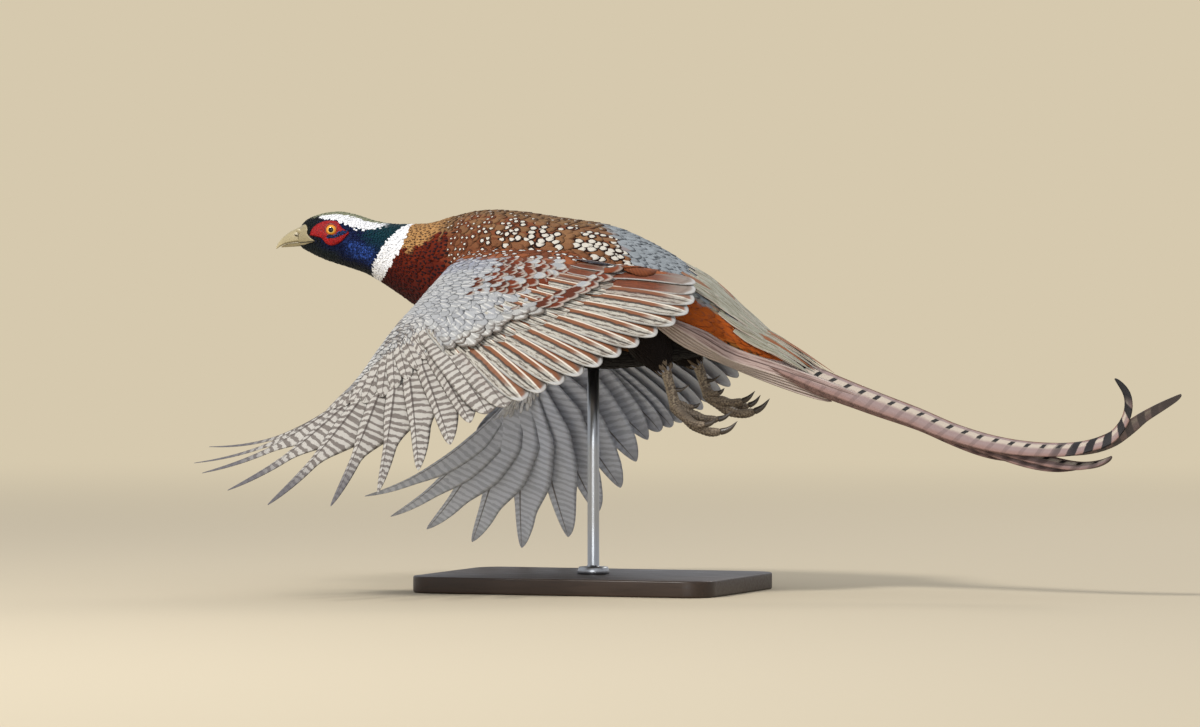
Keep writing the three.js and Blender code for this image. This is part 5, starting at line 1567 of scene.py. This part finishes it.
def footPieces(sideName, side, cuff, ankle, lift):
    # shank from inside the thigh to the ankle, with its joint and its spur
    t = np.linspace(0, 1, 20)
    shank = cuff + (ankle - cuff) * (-0.3 + 1.3 * t)[:, None]
    radii = np.interp(t, [0, 0.25, 0.5, 0.85, 1.0], [4.9, 4.9, 4.7, 5.2, 5.6])
    parts = [legTube(shank, radii, 24, (-1, 0, 0.3), 0.0, 0.9)]
    legPiece(f"shank{sideName}", parts, legSkin, (f"tarsus_{sideName}",))
    spurPath = evenly((cuff + ankle) / 2 + np.array([[0, 0, 0], [9, -1.2 * side, 0.6], [16, -2 * side, 5]]), 10)
    spur = legTube(spurPath, np.linspace(2.6, 0.25, 10), 14, (0, 0, 1), 0.0)
    legPiece(f"spur{sideName}", [spur], clawHorn)
    across = np.linspace(-1, 1, 9)
    knobRadii = 5.6 * np.sqrt(np.maximum(0.02, 1 - across ** 2))
    parts, claws = [legTube(ankle + np.outer(across * 4.5, [0.2, 0, 1.0]), knobRadii, 20, (1, 0, 0), 0.3)], {}
    for toe, (points, thick) in toePlan.items():
        points = ankle + np.array(points) * [1, side, 1]
        points[:, 2] += lift * (points[:, 0] - ankle[0])
        line, cut = smoothLine(points, 200, 200), int(clawFrom * 199)
        flesh, tip = line[:cut + 2:3], line[cut - 3::3]
        share = np.linspace(0, 1, len(flesh))
        swell = 1 + 0.09 * np.sin(share * np.pi * 5.2 + 0.6)
        radii = thick * np.interp(share, [0, 0.6, 0.93, 1.0], [1.4, 1.26, 0.98, 0.4]) * swell
        parts.append(legTube(flesh, radii, 18, (0, 0, 1), 1.0, 0.92, 0.05))
        radii = thick * 0.8 * (1 - np.linspace(0, 1, len(tip)) ** 1.5 * 0.95)
        claws[toe] = legTube(tip, radii, 14, (0, 0, 1), 0.0)
    legPiece(f"foot{sideName}", parts, legSkin, (f"foot_{sideName}",))
    for toe, claw in claws.items():
        legPiece(f"claw{sideName}{toe}", [claw], clawHorn, (f"claw_{sideName}_{toe}",))


def thighPieces(sideName, hip, cuff, rings=40, sides=48):
    # skin, then feathers pointing down it
    tone, t = legTones, np.linspace(-0.12, 1.02, rings)
    line = hip + (cuff - hip) * t[:, None]
    radii = np.interp(t, [-0.12, 0.0, 0.5, 0.95, 1.02], [20.0, 20.0, 14.0, 7.4, 5.0])
    verts, faces = tubeMesh(line, radii - 1.2, sides, (-1, 0, 0.3))
    uv = np.stack([np.linspace(0.02, 0.98, len(verts)), np.full(len(verts), 0.5)], 1)
    colours = colourRows(len(verts), tone["thighSkin"], 0.1)
    node = (f"thigh_{sideName}",)
    makePiece(f"thighSkin{sideName}", verts, faces, skin, {"base": colours}, uv, node)
    sheet = makeSheet(verts[:-2].reshape(rings, sides, 3), wrap=True)
    if np.dot(sheet["normals"][20, 0], sheet["points"][20, 0] - line[20]) < 0:
        sheet["normals"] *= -1
    rows = []
    for i, place in enumerate(np.linspace(1, 36, 13)):
        count = int(2 * np.pi * np.interp(place, np.arange(rings), radii) / 3.4)
        u = place + rng.normal(0, 0.5, count)
        rows.append([u, (np.arange(count) + 0.5 * (i % 2)) * sides / count + rng.normal(0, 0.2, count)])
    u, v = np.concatenate(rows, axis=1)
    u, count = np.clip(u, 0, 38), len(u)
    chance, share = rng.random(count), u / 39
    looks = newLooks(count, tone["thigh"], 0.1, tone["thighEdge"], tone["thigh"], 0.25)
    paint(looks["base"], (share > 0.7) & (chance > 0.35), tone["cuff"], 0.0)
    paint(looks["base"], share > 0.85, tone["cuffGrey"], 0.0)
    length = mix(13.0, 6.0, share) * rng.uniform(0.85, 1.15, count)
    width = mix(6.5, 2.6, share) * rng.uniform(0.85, 1.15, count)
    turn = rng.normal(0, 0.12, count)
    feathers = layFeathers(sheet, u, v, length, width, turn, mix(1.0, 0.5, share), shape="narrow")
    rootUv = np.stack([0.02 + 0.96 * np.mod(v / sides, 1), 0.02 + 0.96 * share], 1)
    featherPieces(f"thighCoat{sideName}", feathers, looks, rootUv)


for sideName, (side, hip, cuff, ankle, lift) in legPlan.items():
    hip, cuff, ankle = (np.array(place, float) for place in (hip, cuff, ankle))
    footPieces(sideName, side, cuff, ankle, lift)
    thighPieces(sideName, hip, cuff)
print("legs")

# Stand: a dark plate with rounded corners and a steel rod with a flange
standPlan = {
    "length": 270.0, "width": 190.0, "thick": 14.0, "corner": 24.0, "edge": 1.5, "rodX": -6.0,
    # radius and height up the rod, between its foot and its top
    "rod": [(13.4, 14.4), (14.0, 15.0), (12.6, 19.4), (12.0, 20.2), (6.4, 20.35), (5.4, 20.8), (5.0, 22.0),
            (5.0, 60.0), (5.0, 120.0), (5.0, 190.5)],
    "wood": ((0.014, 0.008, 0.005), (0.05, 0.027, 0.015)), "steel": (0.42, 0.43, 0.44),
}


def plateLook(tree):
    x, y, z = objectPlace(tree).split()
    fine = noise((x * 0.06, y, z), 420.0, 4, 0.6, 0.4)
    return {"Base Color": blend(fine, *standPlan["wood"]), "Roughness": fine.step(0.3, 0.7, 0.34, 0.5)}


def steelLook(tree):
    return {"Base Color": standPlan["steel"], "Metallic": 1.0}


def standPieces(sides=96, rodSides=48):
    # rings of a rounded rectangle, drawn in over a rounded edge; and a profile turned round the rod's axis
    plan, angle = standPlan, turnSteps(sides) + np.pi / sides
    ring = np.stack([np.cos(angle), np.sin(angle), 0 * angle], 1)
    middle = np.sign(ring) * [plan["length"] / 2 - plan["corner"], plan["width"] / 2 - plan["corner"], 0]
    middle[:, 0] += plan["rodX"]
    turns = np.linspace(0, np.pi / 2, 7)
    inset, rise = plan["edge"] * (1 - np.sin(turns)), plan["edge"] * (1 - np.cos(turns))
    inset, heights = np.append(inset, inset[::-1]), np.append(rise, (plan["thick"] - rise)[::-1])
    rings = middle + ring * (plan["corner"] - inset)[:, None, None] + heights[:, None, None] * [0, 0, 1]
    verts, faces = closeRings(rings, np.array([[plan["rodX"], 0, 0], [plan["rodX"], 0, plan["thick"]]]))
    wood = makeMaterial("standPlate", plateLook, 0.42, 0.45)
    solidPiece("standPlate", verts, faces, wood, replaces=("stand_base",))
    turn = turnSteps(rodSides)
    radius, height = np.array(plan["rod"]).T[:, :, None]
    rings = np.stack([plan["rodX"] + radius * np.cos(turn), radius * np.sin(turn), height + 0 * turn], -1)
    hubs = np.array([[plan["rodX"], 0, height[0, 0]], [plan["rodX"], 0, height[-1, 0]]])
    verts, faces = closeRings(rings, hubs)
    steel = makeMaterial("standSteel", steelLook, 0.3, 0.5)
    solidPiece("standRod", verts, faces, steel, replaces=("stand_rod",))


standPieces()
print("stand")

# Stage: a pale floor that fades into the backdrop's colour, a key light, a fill and a light behind
stagePlan = {
    "backdrop": tint(214, 201, 174), "sky": (0.6, 0.62, 0.66), "floorRadius": 40.0, "floorHeight": -0.0002,
    "fade": (0.7, 3.2),
    # place, aim, size, power, colour
    "key": ((-0.8, -2.1, 2.3), (0.0, 0.0, 0.2), 0.5, 72, (1.0, 0.97, 0.92)),
    "fill": ((0.6, -2.6, 0.15), (0.05, 0.0, 0.2), 1.6, 20, (0.94, 0.97, 1.0)),
    "back": ((0.7, 1.9, 1.8), (0.0, 0.0, 0.25), 1.0, 16, (1.0, 0.97, 0.92)),
}


def cameraOnly(tree):
    # the backdrop's colour for the camera, a neutral light for everything else
    return blend(addNode(tree, "LightPath", (), "Is Camera Ray"), stagePlan["sky"], stagePlan["backdrop"])


def floorLook(tree):
    return {"Base Color": stagePlan["backdrop"] * [0.8, 0.8, 0.82]}


def stageFloor(sides=96):
    material = makeMaterial("floor", floorLook, 0.9, 0.05)
    tree = material.node_tree
    x, y, _ = objectPlace(tree).split()
    fade = (x * x + y * y).math("SQRT").step(*stagePlan["fade"])
    glow = addNode(tree, "Emission", (("Color", cameraOnly(tree)),))
    matt = Wire(tree.nodes["Principled BSDF"].outputs[0])
    put(tree.nodes["Material Output"].inputs["Surface"], addNode(tree, "MixShader", enumerate((fade, matt, glow))))
    radius, height, angle = stagePlan["floorRadius"], stagePlan["floorHeight"], turnSteps(sides)
    mesh = bpy.data.meshes.new("floor")
    verts = np.stack([radius * np.cos(angle), radius * np.sin(angle), height + 0 * angle], 1)
    mesh.from_pydata(verts.tolist(), [], [list(range(sides))])
    mesh.materials.append(material)
    floor = bpy.data.objects.new("floor", mesh)
    scene.collection.objects.link(floor)


def areaLight(name, place, aim, size, power, colour):
    data = bpy.data.lights.new(name, "AREA")
    data.shape, data.size, data.energy, data.color = "DISK", size, power, colour
    lamp = bpy.data.objects.new(name, data)
    lamp.location = place
    lamp.rotation_mode = "QUATERNION"
    lamp.rotation_quaternion = (Vector(aim) - Vector(place)).to_track_quat("-Z", "Y")
    scene.collection.objects.link(lamp)


stageFloor()
scene.world = bpy.data.worlds.new("backdrop")
scene.world.use_nodes = True
put(scene.world.node_tree.nodes["Background"].inputs["Color"], cameraOnly(scene.world.node_tree))
for lightName in ("key", "fill", "back"):
    areaLight(lightName, *stagePlan[lightName])
scene.view_settings.view_transform = "Standard"
print("stage")
